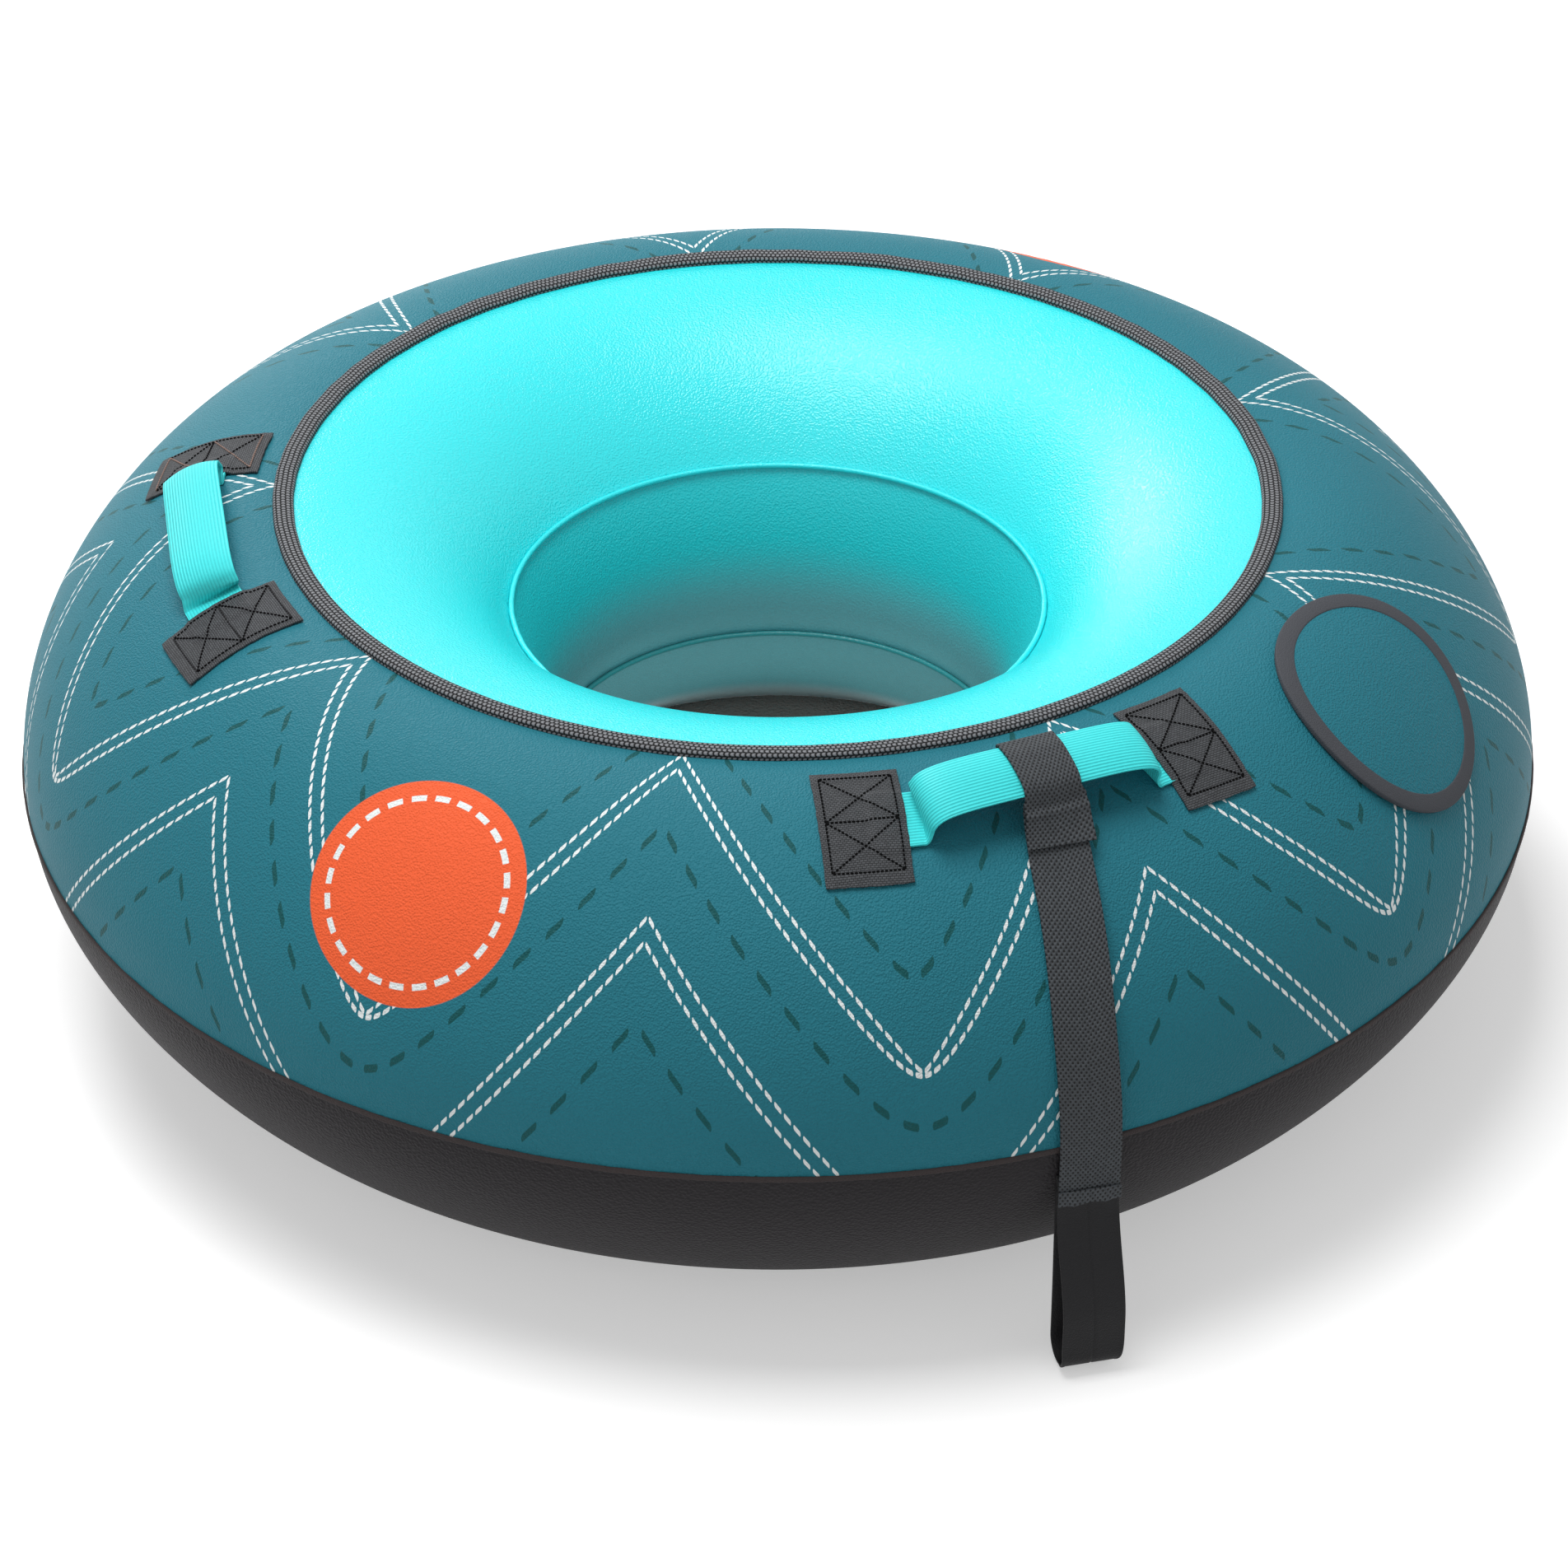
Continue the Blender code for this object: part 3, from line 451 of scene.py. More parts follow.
def flat_band(name, width, length, across, along):
    """A flat strip at its cut size, with a flat map in metres that follows it when it is bent."""
    band = fresh(bpy.ops.mesh.primitive_grid_add, name, x_subdivisions=across,
                 y_subdivisions=along, size=1, calc_uvs=False)
    edit_all(band, bpy.ops.transform.resize, value=(width, length, 1))
    store_flat_map(band)
    return band


def store_flat_map(piece):
    mesh = piece.data
    places = np.array([vertex.co[:2] for vertex in mesh.vertices])
    corners = np.empty(len(mesh.loops), int)
    mesh.loops.foreach_get("vertex_index", corners)
    mesh.uv_layers.new(name="flat").data.foreach_set("uv", places[corners].ravel())


def thicken(piece, thickness, edge, offset=0.0):
    """Gives a sheet its thickness and softens its cut edges."""
    apply_modifier(piece, "SOLIDIFY", thickness=thickness, offset=offset, use_even_offset=True)
    apply_modifier(piece, "BEVEL", width=edge, segments=2, limit_method="ANGLE",
                   angle_limit=radians(50))
    shade(piece)


# Shader wiring

def colour(red, green, blue):
    """Linear colour of a screen colour from 0 to 255."""
    def linear(value):
        share = value / 255
        return share / 12.92 if share <= 0.04045 else ((share + 0.055) / 1.055) ** 2.4
    return (linear(red), linear(green), linear(blue), 1)


class Wiring:
    """Adds nodes to one tree and joins them; each call gives what the new node puts out."""

    def __init__(self, tree):
        self.tree = tree

    def node(self, kind, **settings):
        made = self.tree.nodes.new(kind)
        for name, value in settings.items():
            setattr(made, name, value)
        return made

    def feed(self, socket, value):
        if isinstance(value, bpy.types.NodeSocket):
            self.tree.links.new(value, socket)
        else:
            socket.default_value = value

    def math(self, operation, *values, clamp=False):
        made = self.node("ShaderNodeMath", operation=operation, use_clamp=clamp)
        for socket, value in zip(made.inputs, values):
            self.feed(socket, value)
        return made.outputs["Value"]

    def add(self, first, second, clamp=False):
        return self.math("ADD", first, second, clamp=clamp)

    def sub(self, first, second):
        return self.math("SUBTRACT", first, second)

    def mul(self, first, second):
        return self.math("MULTIPLY", first, second)

    def div(self, first, second):
        return self.math("DIVIDE", first, second)

    def mul_add(self, value, factor, shift):
        return self.math("MULTIPLY_ADD", value, factor, shift)

    def maximum(self, first, second):
        return self.math("MAXIMUM", first, second)

    def absolute(self, value):
        return self.math("ABSOLUTE", value)

    def floor(self, value):
        return self.math("FLOOR", value)

    def fract(self, value):
        return self.math("FRACT", value)

    def centred(self, value):
        """Runs from -1 to 1 within each whole step of a value."""
        return self.mul_add(self.fract(value), 2.0, -1.0)

    def hypot(self, first, second):
        return self.math("SQRT", self.add(self.mul(first, first), self.mul(second, second)))

    def vector(self, operation, *values):
        made = self.node("ShaderNodeVectorMath", operation=operation)
        for socket, value in zip(made.inputs, values):
            self.feed(socket, value)
        scalar = operation in ("LENGTH", "DISTANCE", "DOT_PRODUCT")
        return made.outputs["Value" if scalar else "Vector"]

    def ramp(self, value, low, high, to_low=0.0, to_high=1.0):
        """Smooth step of a value from one range to another."""
        made = self.node("ShaderNodeMapRange", interpolation_type="SMOOTHSTEP")
        for name, feed in (("Value", value), ("From Min", low), ("From Max", high),
                           ("To Min", to_low), ("To Max", to_high)):
            self.feed(made.inputs[name], feed)
        return made.outputs["Result"]

    def mix(self, factor, first, second):
        made = self.node("ShaderNodeMix", data_type="RGBA", blend_type="MIX")
        self.feed(made.inputs["Factor"], factor)
        self.feed(made.inputs[6], first)
        self.feed(made.inputs[7], second)
        return made.outputs[2]

    def noise(self, place, scale, detail=2.0, roughness=0.5):
        made = self.node("ShaderNodeTexNoise")
        self.feed(made.inputs["Vector"], place)
        self.feed(made.inputs["Scale"], scale)
        self.feed(made.inputs["Detail"], detail)
        self.feed(made.inputs["Roughness"], roughness)
        return made.outputs["Fac"]

    def object_place(self):
        return self.node("ShaderNodeTexCoord").outputs["Object"]

    def flat_place(self):
        """Across and along a band or patch, in metres."""
        split = self.node("ShaderNodeSeparateXYZ")
        uv = self.node("ShaderNodeUVMap", uv_map="flat")
        self.feed(split.inputs[0], uv.outputs["UV"])
        return split.outputs["X"], split.outputs["Y"]

    def group(self, tree, **values):
        made = self.node("ShaderNodeGroup", node_tree=tree)
        for name, value in values.items():
            self.feed(made.inputs[name.replace("_", " ")], value)
        return made.outputs

    def bump(self, height, distance):
        made = self.node("ShaderNodeBump")
        self.feed(made.inputs["Height"], height)
        self.feed(made.inputs["Distance"], distance)
        return made.outputs["Normal"]


# Shares of fine noise and of pebbles in the grain, and of a printed line's half width at
# which its edge starts and ends
FINE_GRAIN_SHARE = 0.55
PEBBLE_SHARE = 0.6
PRINT_EDGE_SHARES = (0.85, 1.15)
# Uneven factors that scatter the tones of neighbouring threads
SCATTER_ROW = 12.9898
SCATTER_THREAD = 78.233
SCATTER_SPREAD = 43.7585


def new_group(name, inputs, outputs):
    """An empty node group with float sockets; gives its tree, its wiring and both ends."""
    tree = bpy.data.node_groups.new(name, "ShaderNodeTree")
    for socket, default in inputs.items():
        made = tree.interface.new_socket(socket, in_out="INPUT", socket_type="NodeSocketFloat")
        made.default_value = default
    for socket in outputs:
        tree.interface.new_socket(socket, in_out="OUTPUT", socket_type="NodeSocketFloat")
    w = Wiring(tree)
    return tree, w, w.node("NodeGroupInput").outputs, w.node("NodeGroupOutput").inputs


def staggered(w, row):
    """Half a step in every second row, and none in the others."""
    return w.mul(w.math("FLOORED_MODULO", w.floor(row), 2.0), 0.5)


def thread_dome(w, in_row, in_thread):
    """Height of a thread: round across its row, and fuller along itself."""
    across = w.sub(1.0, w.mul(in_row, in_row))
    along = w.sub(1.0, w.math("POWER", w.absolute(in_thread), 3.0))
    return w.math("SQRT", w.mul(across, along))


def make_ring_place_group():
    """Where a point lies on the tube: share of a turn, section angle and radius."""
    tree, w, _, out = new_group("ring_place", {}, ("Turn", "Angle", "Radius"))
    split = w.node("ShaderNodeSeparateXYZ")
    w.feed(split.inputs[0], w.object_place())
    x, y, z = split.outputs
    radius = w.hypot(x, y)
    aside = w.sub(radius, CROWN_RADIUS)
    inside = w.math("LESS_THAN", aside, 0.0)
    half_width = w.mul_add(inside, INNER_HALF_WIDTH - OUTER_HALF_WIDTH, OUTER_HALF_WIDTH)
    height = w.div(w.sub(z, EQUATOR_HEIGHT), UPPER_HALF_HEIGHT)
    w.feed(out["Turn"], w.fract(w.add(w.div(w.math("ARCTAN2", y, x), FULL_TURN), 1.0)))
    w.feed(out["Angle"], w.math("ARCTAN2", height, w.div(aside, half_width)))
    w.feed(out["Radius"], radius)
    return tree


def make_grain_group():
    """Pebble grain of a coated fabric, with a slow change of tone."""
    tree, w, given, out = new_group("pebble_grain", {"Cell": 0.0016, "Tone Size": 0.12},
                                    ("Height", "Tone"))
    place = w.object_place()
    scale = w.div(1.0, given["Cell"])
    cells = w.node("ShaderNodeTexVoronoi", feature="SMOOTH_F1")
    w.feed(cells.inputs["Vector"], place)
    w.feed(cells.inputs["Scale"], scale)
    w.feed(cells.inputs["Smoothness"], 0.5)
    fine = w.noise(place, w.mul(scale, 1.3), 3.0, 0.6)
    domes = w.ramp(cells.outputs["Distance"], 0.15, 0.75, 1.0, 0.0)
    w.feed(out["Height"], w.mul_add(fine, FINE_GRAIN_SHARE, w.mul(domes, PEBBLE_SHARE)))
    w.feed(out["Tone"], w.noise(place, w.div(1.0, given["Tone Size"]), 3.0, 0.55))
    return tree


def make_zigzag_group():
    """Mask of one dashed line that runs up and down between two levels round the tube."""
    tree, w, given, out = new_group(
        "dashed_zigzag",
        {"Turn": 0.0, "Level": 0.0, "Radius": TUBE_RADIUS, "Count": 9.0, "Phase": 0.0,
         "Peak": 0.25, "Valley": 0.05, "Shift": 0.0, "Rounding": 0.02, "Width": 0.003,
         "Dashes": 20.0, "Filled Share": 0.6},
        ("Mask",))
    leg = w.absolute(w.centred(w.add(w.mul(given["Turn"], given["Count"]), given["Phase"])))
    rise = w.sub(given["Peak"], given["Valley"])
    rounded = w.hypot(leg, given["Rounding"])
    line = w.add(w.mul_add(rounded, rise, given["Valley"]), given["Shift"])
    half_period = w.div(w.mul(given["Radius"], pi), given["Count"])
    leg_length = w.hypot(half_period, rise)
    slope = w.div(half_period, leg_length)
    off_line = w.mul(w.absolute(w.sub(given["Level"], line)), slope)
    from_dash = w.absolute(w.sub(w.fract(w.mul(leg, given["Dashes"])), 0.5))
    pitch = w.div(leg_length, given["Dashes"])
    half_width = w.mul(given["Width"], 0.5)
    half_dash = w.sub(w.mul(w.mul(pitch, 0.5), given["Filled Share"]), half_width)
    off_dash = w.maximum(w.sub(w.mul(from_dash, pitch), half_dash), 0.0)
    inner, outer = (w.mul(half_width, share) for share in PRINT_EDGE_SHARES)
    w.feed(out["Mask"], w.ramp(w.hypot(off_dash, off_line), inner, outer, 1.0, 0.0))
    return tree


def make_weave_group():
    """Short threads in slanted rows that turn back at each column, as in heavy woven webbing."""
    tree, w, given, out = new_group(
        "woven_rows",
        {"Across": 0.0, "Along": 0.0, "Row": 0.0015, "Thread": 0.003, "Column": 0.038,
         "Slope": 0.5},
        ("Height", "Tone"))
    across = given["Across"]
    column = w.sub(w.fract(w.add(w.div(across, given["Column"]), 0.5)), 0.5)
    zigzag = w.mul(w.absolute(column), given["Column"])
    row = w.div(w.mul_add(zigzag, given["Slope"], given["Along"]), given["Row"])
    thread = w.add(w.div(across, given["Thread"]), staggered(w, row))
    w.feed(out["Height"], thread_dome(w, w.centred(row), w.centred(thread)))
    number = w.add(w.mul(w.floor(row), SCATTER_ROW), w.mul(w.floor(thread), SCATTER_THREAD))
    w.feed(out["Tone"], w.fract(w.mul(w.math("SINE", number), SCATTER_SPREAD)))
    return tree


def make_mesh_group():
    """Open webbing: staggered gaps between heavy threads, in rows that turn at the middle."""
    tree, w, given, out = new_group(
        "open_webbing",
        {"Across": 0.0, "Along": 0.0, "Row": 0.002, "Thread": 0.0027, "Slope": 0.45},
        ("Height", "Gap"))
    across = given["Across"]
    slanted = w.mul_add(w.absolute(across), given["Slope"], given["Along"])
    rows = w.math("COSINE", w.mul(w.div(slanted, given["Row"]), pi))
    threads = w.math("COSINE", w.mul(w.div(across, given["Thread"]), FULL_TURN))
    gap = w.mul(rows, threads)
    w.feed(out["Height"], w.mul(gap, -1.0))
    w.feed(out["Gap"], w.ramp(gap, 0.10, 0.62))
    return tree


RING_PLACE = make_ring_place_group()
PEBBLE_GRAIN = make_grain_group()
DASHED_ZIGZAG = make_zigzag_group()
WOVEN_ROWS = make_weave_group()
OPEN_WEBBING = make_mesh_group()

# Colours, as screen colours
COVER_TEAL = colour(40, 116, 131)
DARK_GREEN = colour(18, 74, 72)
STITCH_WHITE = colour(232, 238, 238)
DISC_ORANGE = colour(240, 100, 58)
SEAT_CYAN = colour(42, 226, 232)
# The throat's cyan is the seat's cyan darkened as painted shade
THROAT_SHADED_CYAN = colour(36, 196, 202)
# Greyed teal of the well below the throat is painted shade and painted reflection; the pale colour
# at its foot is painted light
WELL_SHADE_SHEEN_TEAL = colour(98, 166, 173)
WELL_FOOT_GLOW = colour(236, 246, 248)
PIPING_TEAL = colour(34, 130, 134)
SHELL_BLACK = colour(43, 41, 43)
FLOOR_BROWN = colour(128, 117, 113)
HEM_BROWN = colour(48, 41, 41)
BINDING_GREY = colour(132, 134, 138)
PATCH_GREY = colour(76, 78, 81)
FLAP_GREY = colour(74, 76, 81)
HANDLE_CYAN = colour(66, 224, 226)
# Colour of the handle's rib hollows, painted shade
HANDLE_RIB_SHADE = colour(46, 198, 201)
STRAP_SLATE = colour(68, 72, 76)
# Near-black in the strap's open gaps, painted shade
STRAP_GAP_SHADE = colour(10, 11, 13)
LOOP_BLACK = colour(25, 25, 27)
THREAD_BLACK = colour(10, 10, 11)
THREAD_BROWN = colour(142, 120, 112)
THREAD_GREY = colour(48, 48, 50)
TAPE_BLACK = colour(28, 28, 30)
VINYL_GREY = colour(150, 154, 158)
VALVE_WHITE = colour(208, 208, 204)

# Grain and relief of the fabrics, and heights between which the well's painted shade, painted
# reflection and painted light change
COVER_GRAIN = 0.0014
COVER_RELIEF = 0.0006
VINYL_GRAIN = 0.0015
VINYL_RELIEF = 0.00035
THROAT_FADE = (0.150, 0.205)
WELL_FOOT_FADE = (0.038, 0.074)
HANDLE_RIB_PITCH = 0.0021

# Print on the cover; each line is a shift up the section and the rounding of its turns
ZIGZAG_COUNT = 9
ZIGZAG_PHASE = 0.5
ZIGZAG_PEAK = 0.272
ZIGZAG_VALLEY = 0.046
CHEVRON_DROP = 0.128
LINE_PAIR_GAP = 0.0168
DARK_LINES = ((-0.052, 0.16), (0.066, 0.05), (-CHEVRON_DROP - 0.052, 0.16))
DARK_DASHES = {"Width": 0.0034, "Dashes": 10.0, "Filled_Share": 0.54}
WHITE_LINES = ((0.0, 0.075), (LINE_PAIR_GAP, 0.012), (-CHEVRON_DROP, 0.075),
               (-CHEVRON_DROP + LINE_PAIR_GAP, 0.012))
WHITE_DASHES = {"Width": 0.0021, "Dashes": 31.0, "Filled_Share": 0.74}
DISC_TURNS = (radians(-118.9), radians(61.1))
DISC_ANGLE = radians(47.5)
DISC_RADIUS = 0.070
DISC_RING_RADIUS = 0.058
DISC_EDGE = 0.0004
DISC_DASHES = 24.0


def new_material(name, roughness, specular=0.5):
    material = bpy.data.materials.new(name)
    material.use_nodes = True
    shader = material.node_tree.nodes["Principled BSDF"]
    shader.inputs["Roughness"].default_value = roughness
    shader.inputs["Specular IOR Level"].default_value = specular
    return material, Wiring(material.node_tree), shader.inputs


def toned(w, base, tone, share):
    """The colour, a little darker or lighter with the tone."""
    lighter = tuple(min(1, value * (1 + share)) for value in base[:3]) + (1,)
    darker = tuple(value * (1 - share) for value in base[:3]) + (1,)
    return w.mix(tone, darker, lighter)


def grained(name, base, roughness, cell, relief, tone_share=0.06, specular=0.5):
    """Coated or brushed fabric with a pebble grain."""
    material, w, sockets = new_material(name, roughness, specular)
    grain = w.group(PEBBLE_GRAIN, Cell=cell)
    w.feed(sockets["Base Color"], toned(w, base, grain["Tone"], tone_share))
    w.feed(sockets["Normal"], w.bump(grain["Height"], relief))
    return material


def make_cover_print():
    """Teal cover with dashed zigzags and two plain orange discs."""
    material, w, sockets = new_material("cover_print", 0.50, specular=0.1)
    grain = w.group(PEBBLE_GRAIN, Cell=COVER_GRAIN)
    place = w.group(RING_PLACE)
    level = w.mul(place["Angle"], UPPER_HALF_HEIGHT)

    def lines(rows, dashes):
        mask = 0.0
        for shift, rounding in rows:
            line = w.group(DASHED_ZIGZAG, Turn=place["Turn"], Level=level, Radius=place["Radius"],
                           Count=ZIGZAG_COUNT, Phase=ZIGZAG_PHASE, Peak=ZIGZAG_PEAK,
                           Valley=ZIGZAG_VALLEY, Shift=shift, Rounding=rounding, **dashes)
            mask = w.maximum(line["Mask"], mask)
        return mask

    worn = w.ramp(w.noise(w.object_place(), 900.0, 2.0, 0.6), 0.25, 0.5, 0.55, 0.85)
    printed = w.mix(w.mul(lines(DARK_LINES, DARK_DASHES), worn),
                    toned(w, COVER_TEAL, grain["Tone"], 0.05), DARK_GREEN)
    printed = w.mix(lines(WHITE_LINES, WHITE_DASHES), printed, STITCH_WHITE)
    for turn in DISC_TURNS:
        disc, ring = disc_masks(w, turn)
        printed = w.mix(disc, printed, toned(w, DISC_ORANGE, grain["Tone"], 0.05))
        printed = w.mix(ring, printed, STITCH_WHITE)
    w.feed(sockets["Base Color"], printed)
    w.feed(sockets["Normal"], w.bump(grain["Height"], COVER_RELIEF))
    return material


def disc_masks(w, turn):
    """Masks of a round disc on the cover and of a dashed ring inside its edge."""
    at = skin_frame(turn, DISC_ANGLE)
    away = w.vector("SUBTRACT", w.object_place(), tuple(at.translation))
    x, y = (w.vector("DOT_PRODUCT", away, tuple(at.col[i][:3])) for i in (0, 1))
    radius = w.vector("LENGTH", away)
    disc = w.ramp(radius, DISC_RADIUS - DISC_EDGE, DISC_RADIUS + DISC_EDGE, 1.0, 0.0)
    share = w.add(w.div(w.math("ARCTAN2", y, x), FULL_TURN), 1.0)
    from_dash = w.absolute(w.sub(w.fract(w.mul(share, DISC_DASHES)), 0.5))
    dashed = w.ramp(from_dash, 0.30, 0.33, 1.0, 0.0)
    off = w.absolute(w.sub(radius, DISC_RING_RADIUS))
    return disc, w.mul(dashed, w.ramp(off, 0.0017, 0.0022, 1.0, 0.0))


def make_well_vinyl():
    """The well's wall, coloured by height: cyan at the throat, darkened as painted shade, greyed
    teal below it as painted shade and painted reflection, and pale at its foot as painted light.
    """
    material, w, sockets = new_material("well_vinyl", 0.32, specular=0.4)
    grain = w.group(PEBBLE_GRAIN, Cell=VINYL_GRAIN)
    split = w.node("ShaderNodeSeparateXYZ")
    w.feed(split.inputs[0], w.object_place())
    height = split.outputs["Z"]
    # Colour by height stands in for light: painted shade and painted reflection below the throat,
    # painted light at the foot
    cyan = w.ramp(height, *THROAT_FADE)
    foot_glow = w.ramp(height, *WELL_FOOT_FADE, 1.0, 0.0)
    shaded_sheen = w.mix(foot_glow, toned(w, WELL_SHADE_SHEEN_TEAL, grain["Tone"], 0.04), WELL_FOOT_GLOW)
    w.feed(sockets["Base Color"], w.mix(cyan, shaded_sheen, THROAT_SHADED_CYAN))
    w.feed(sockets["Normal"], w.bump(grain["Height"], VINYL_RELIEF))
    return material


def make_patch_weave():
    """Closely woven grey cloth, on the piece's flat map."""
    material, w, sockets = new_material("patch_weave", 0.7, specular=0.2)
    across, along = w.flat_place()
    weave = w.group(WOVEN_ROWS, Across=across, Along=along, Row=0.0014, Thread=0.0024,
                    Column=0.2, Slope=0.05)
    finish_weave(w, sockets, PATCH_GREY, weave, 0.00050, 0.22, (0.15, 0.75))
    return material


def finish_weave(w, sockets, base, weave, relief, gap_shade_share, opening):
    """Darkens the gaps between threads as painted shade, varies the threads and raises them."""
    threads = toned(w, base, weave["Tone"], 0.16)
    # Gaps are the thread colour darkened as painted shade
    gaps = tuple(value * gap_shade_share for value in base[:3]) + (1,)
    open_share = w.ramp(weave["Height"], *opening)
    w.feed(sockets["Base Color"], w.mix(open_share, gaps, threads))
    w.feed(sockets["Normal"], w.bump(weave["Height"], relief))


def make_strap_webbing():
    """Coarse dark webbing with open gaps darkened as painted shade, on the piece's flat map."""
    material, w, sockets = new_material("strap_weave", 0.65, specular=0.25)
    across, along = w.flat_place()
    weave = w.group(OPEN_WEBBING, Across=across, Along=along, Row=0.0020, Thread=0.0031,
                    Slope=0.12)
    worn = w.ramp(w.noise(w.object_place(), 300.0, 2.0, 0.6), 0.35, 0.65)
    threads = toned(w, STRAP_SLATE, worn, 0.12)
    w.feed(sockets["Base Color"], w.mix(weave["Gap"], threads, STRAP_GAP_SHADE))
    w.feed(sockets["Normal"], w.bump(weave["Height"], 0.0004))
    return material


def make_binding_weave():
    """Tape of short arched threads in staggered columns, counted round the whole rim."""
    material, w, sockets = new_material("edge_binding", 0.7, specular=0.1)
    across, along = w.flat_place()
    column = w.mul_add(across, 1 / BINDING_COLUMN, 0.5)
    aside = w.centred(column)
    arched = w.mul_add(w.mul(aside, aside), -BINDING_ARCH, staggered(w, column))
    row = w.mul_add(along, BINDING_ROWS / (FULL_TURN * RIM_RADIUS), arched)
    weave = {"Height": thread_dome(w, w.centred(row), aside),
             "Tone": w.noise(w.object_place(), 500.0)}
    finish_weave(w, sockets, BINDING_GREY, weave, 0.0010, 0.10, (0.52, 1.0))
    return material


def make_handle_webbing():
    """Cyan webbing with fine lengthwise ribs, darker in the ribs' hollows as painted shade."""
    material, w, sockets = new_material("handle_webbing", 0.55, specular=0.3)
    across, _ = w.flat_place()
    worn = w.noise(w.object_place(), 700.0)
    rib = w.math("SINE", w.mul(across, FULL_TURN / HANDLE_RIB_PITCH))
    height = w.mul_add(worn, 0.8, rib)
    # The worn noise only makes the ribs uneven; the lower parts of the ribs are darkened as
    # painted shade
    shaded = w.mix(w.ramp(height, -1.0, 0.4), HANDLE_RIB_SHADE, HANDLE_CYAN)
    w.feed(sockets["Base Color"], shaded)
    w.feed(sockets["Normal"], w.bump(height, 0.00022))
    return material


def plain(name, base, roughness, relief=0.0001, cell=0.0012, specular=0.5):
    """Moulded plastic or smooth tape with a faint grain."""
    return grained(name, base, roughness, cell, relief, 0.04, specular=specular)


COVER_PRINT = make_cover_print()
FLAP_CLOTH = grained("flap_cloth", COVER_TEAL, 0.50, COVER_GRAIN, COVER_RELIEF, 0.05,
                     specular=0.1)
SEAT_VINYL = grained("seat_vinyl", SEAT_CYAN, 0.24, VINYL_GRAIN, VINYL_RELIEF, 0.03,
                     specular=0.6)
WELL_VINYL = make_well_vinyl()
SHELL_FABRIC = grained("shell_fabric", SHELL_BLACK, 0.55, 0.0021, 0.0007, 0.08, specular=0.1)
FLOOR_FABRIC = grained("floor_fabric", FLOOR_BROWN, 0.55, 0.0024, 0.0009, 0.15, specular=0.2)
HEM_THREAD = grained("hem_thread", HEM_BROWN, 0.75, 0.0012, 0.0004, 0.2, specular=0.3)
EDGE_BINDING = make_binding_weave()
CYAN_PIPING = grained("cyan_piping", SEAT_CYAN, 0.34, 0.0012, 0.0002, 0.03)
WELL_PIPING = grained("well_piping", PIPING_TEAL, 0.36, 0.0012, 0.0002, 0.03)
FLAP_BINDING = grained("flap_binding_felt", FLAP_GREY, 0.75, 0.0008, 0.0003, 0.10, specular=0.15)
HANDLE_WEBBING = make_handle_webbing()
PATCH_WEAVE = make_patch_weave()
STRAP_WEAVE = make_strap_webbing()
LOOP_TAPE = plain("loop_tape", LOOP_BLACK, 0.55, 0.00025, 0.0010, specular=0.2)
THREAD = plain("thread", THREAD_BLACK, 0.80, specular=0.05)
BROWN_THREAD = plain("brown_thread", THREAD_BROWN, 0.80, specular=0.05)
GREY_THREAD = plain("grey_thread", THREAD_GREY, 0.80, specular=0.05)
HOOK_TAPE = grained("hook_tape", TAPE_BLACK, 0.90, 0.0014, 0.0012, 0.2, specular=0.2)
BLADDER_VINYL = plain("bladder_vinyl", VINYL_GREY, 0.38, 0.0001, 0.004)
VALVE_PLASTIC = plain("valve_plastic", VALVE_WHITE, 0.38)
VALVE_RUBBER = plain("valve_rubber", VINYL_GREY, 0.5)


# Camera, light and floor

CAMERA_DISTANCE = 2.7549
CAMERA_RISE = 1.76855
CAMERA_PITCH = 0.58443
CAMERA_LENS_MM = 112.32
CAMERA_SENSOR_MM = 36
CAMERA_SHIFT = 0.00395
FLOOR_SIZE = 60.0
FLOOR_PALE = (0.80, 0.80, 0.80, 1)
FLOOR_GLOW = 0.42
WORLD_LIGHT = 0.4
STUDIO_CENTRE = (0, 0, 0.2)
# Name, place, size and power
SOFTBOXES = (("top_softbox", (-0.6, 0.0, 3.4), (1.8, 1.8), 88),
             ("back_softbox", (-1.15, 2.55, 1.55), (0.6, 1.3), 30),
             ("front_softbox", (-1.4, -3.0, 2.4), (2.0, 1.6), 6))
# Name, height, target, size and power
WELL_LAMPS = (("well_softbox", 0.150, (0, 0, 0), 0.19, 0.10),
              ("well_bounce", 0.0432, STUDIO_CENTRE, 0.33, 0.17))


def make_camera():
    data = bpy.data.cameras.new("camera")
    data.sensor_width = CAMERA_SENSOR_MM
    data.lens = CAMERA_LENS_MM
    data.shift_x = CAMERA_SHIFT
    camera = bpy.data.objects.new("camera", data)
    camera.location = (0, -CAMERA_DISTANCE, EQUATOR_HEIGHT + CAMERA_RISE)
    camera.rotation_euler = (pi / 2 - CAMERA_PITCH, 0, 0)
    bpy.context.scene.collection.objects.link(camera)
    bpy.context.scene.camera = camera


def make_softbox(name, place, target, size, power):
    data = bpy.data.lights.new(name, "AREA")
    data.shape = "RECTANGLE"
    data.size, data.size_y = size
    data.energy = power
    lamp = bpy.data.objects.new(name, data)
    lamp.location = place
    lamp.rotation_euler = (Vector(target) - Vector(place)).to_track_quat("-Z", "Y").to_euler()
    bpy.context.scene.collection.objects.link(lamp)
    return lamp


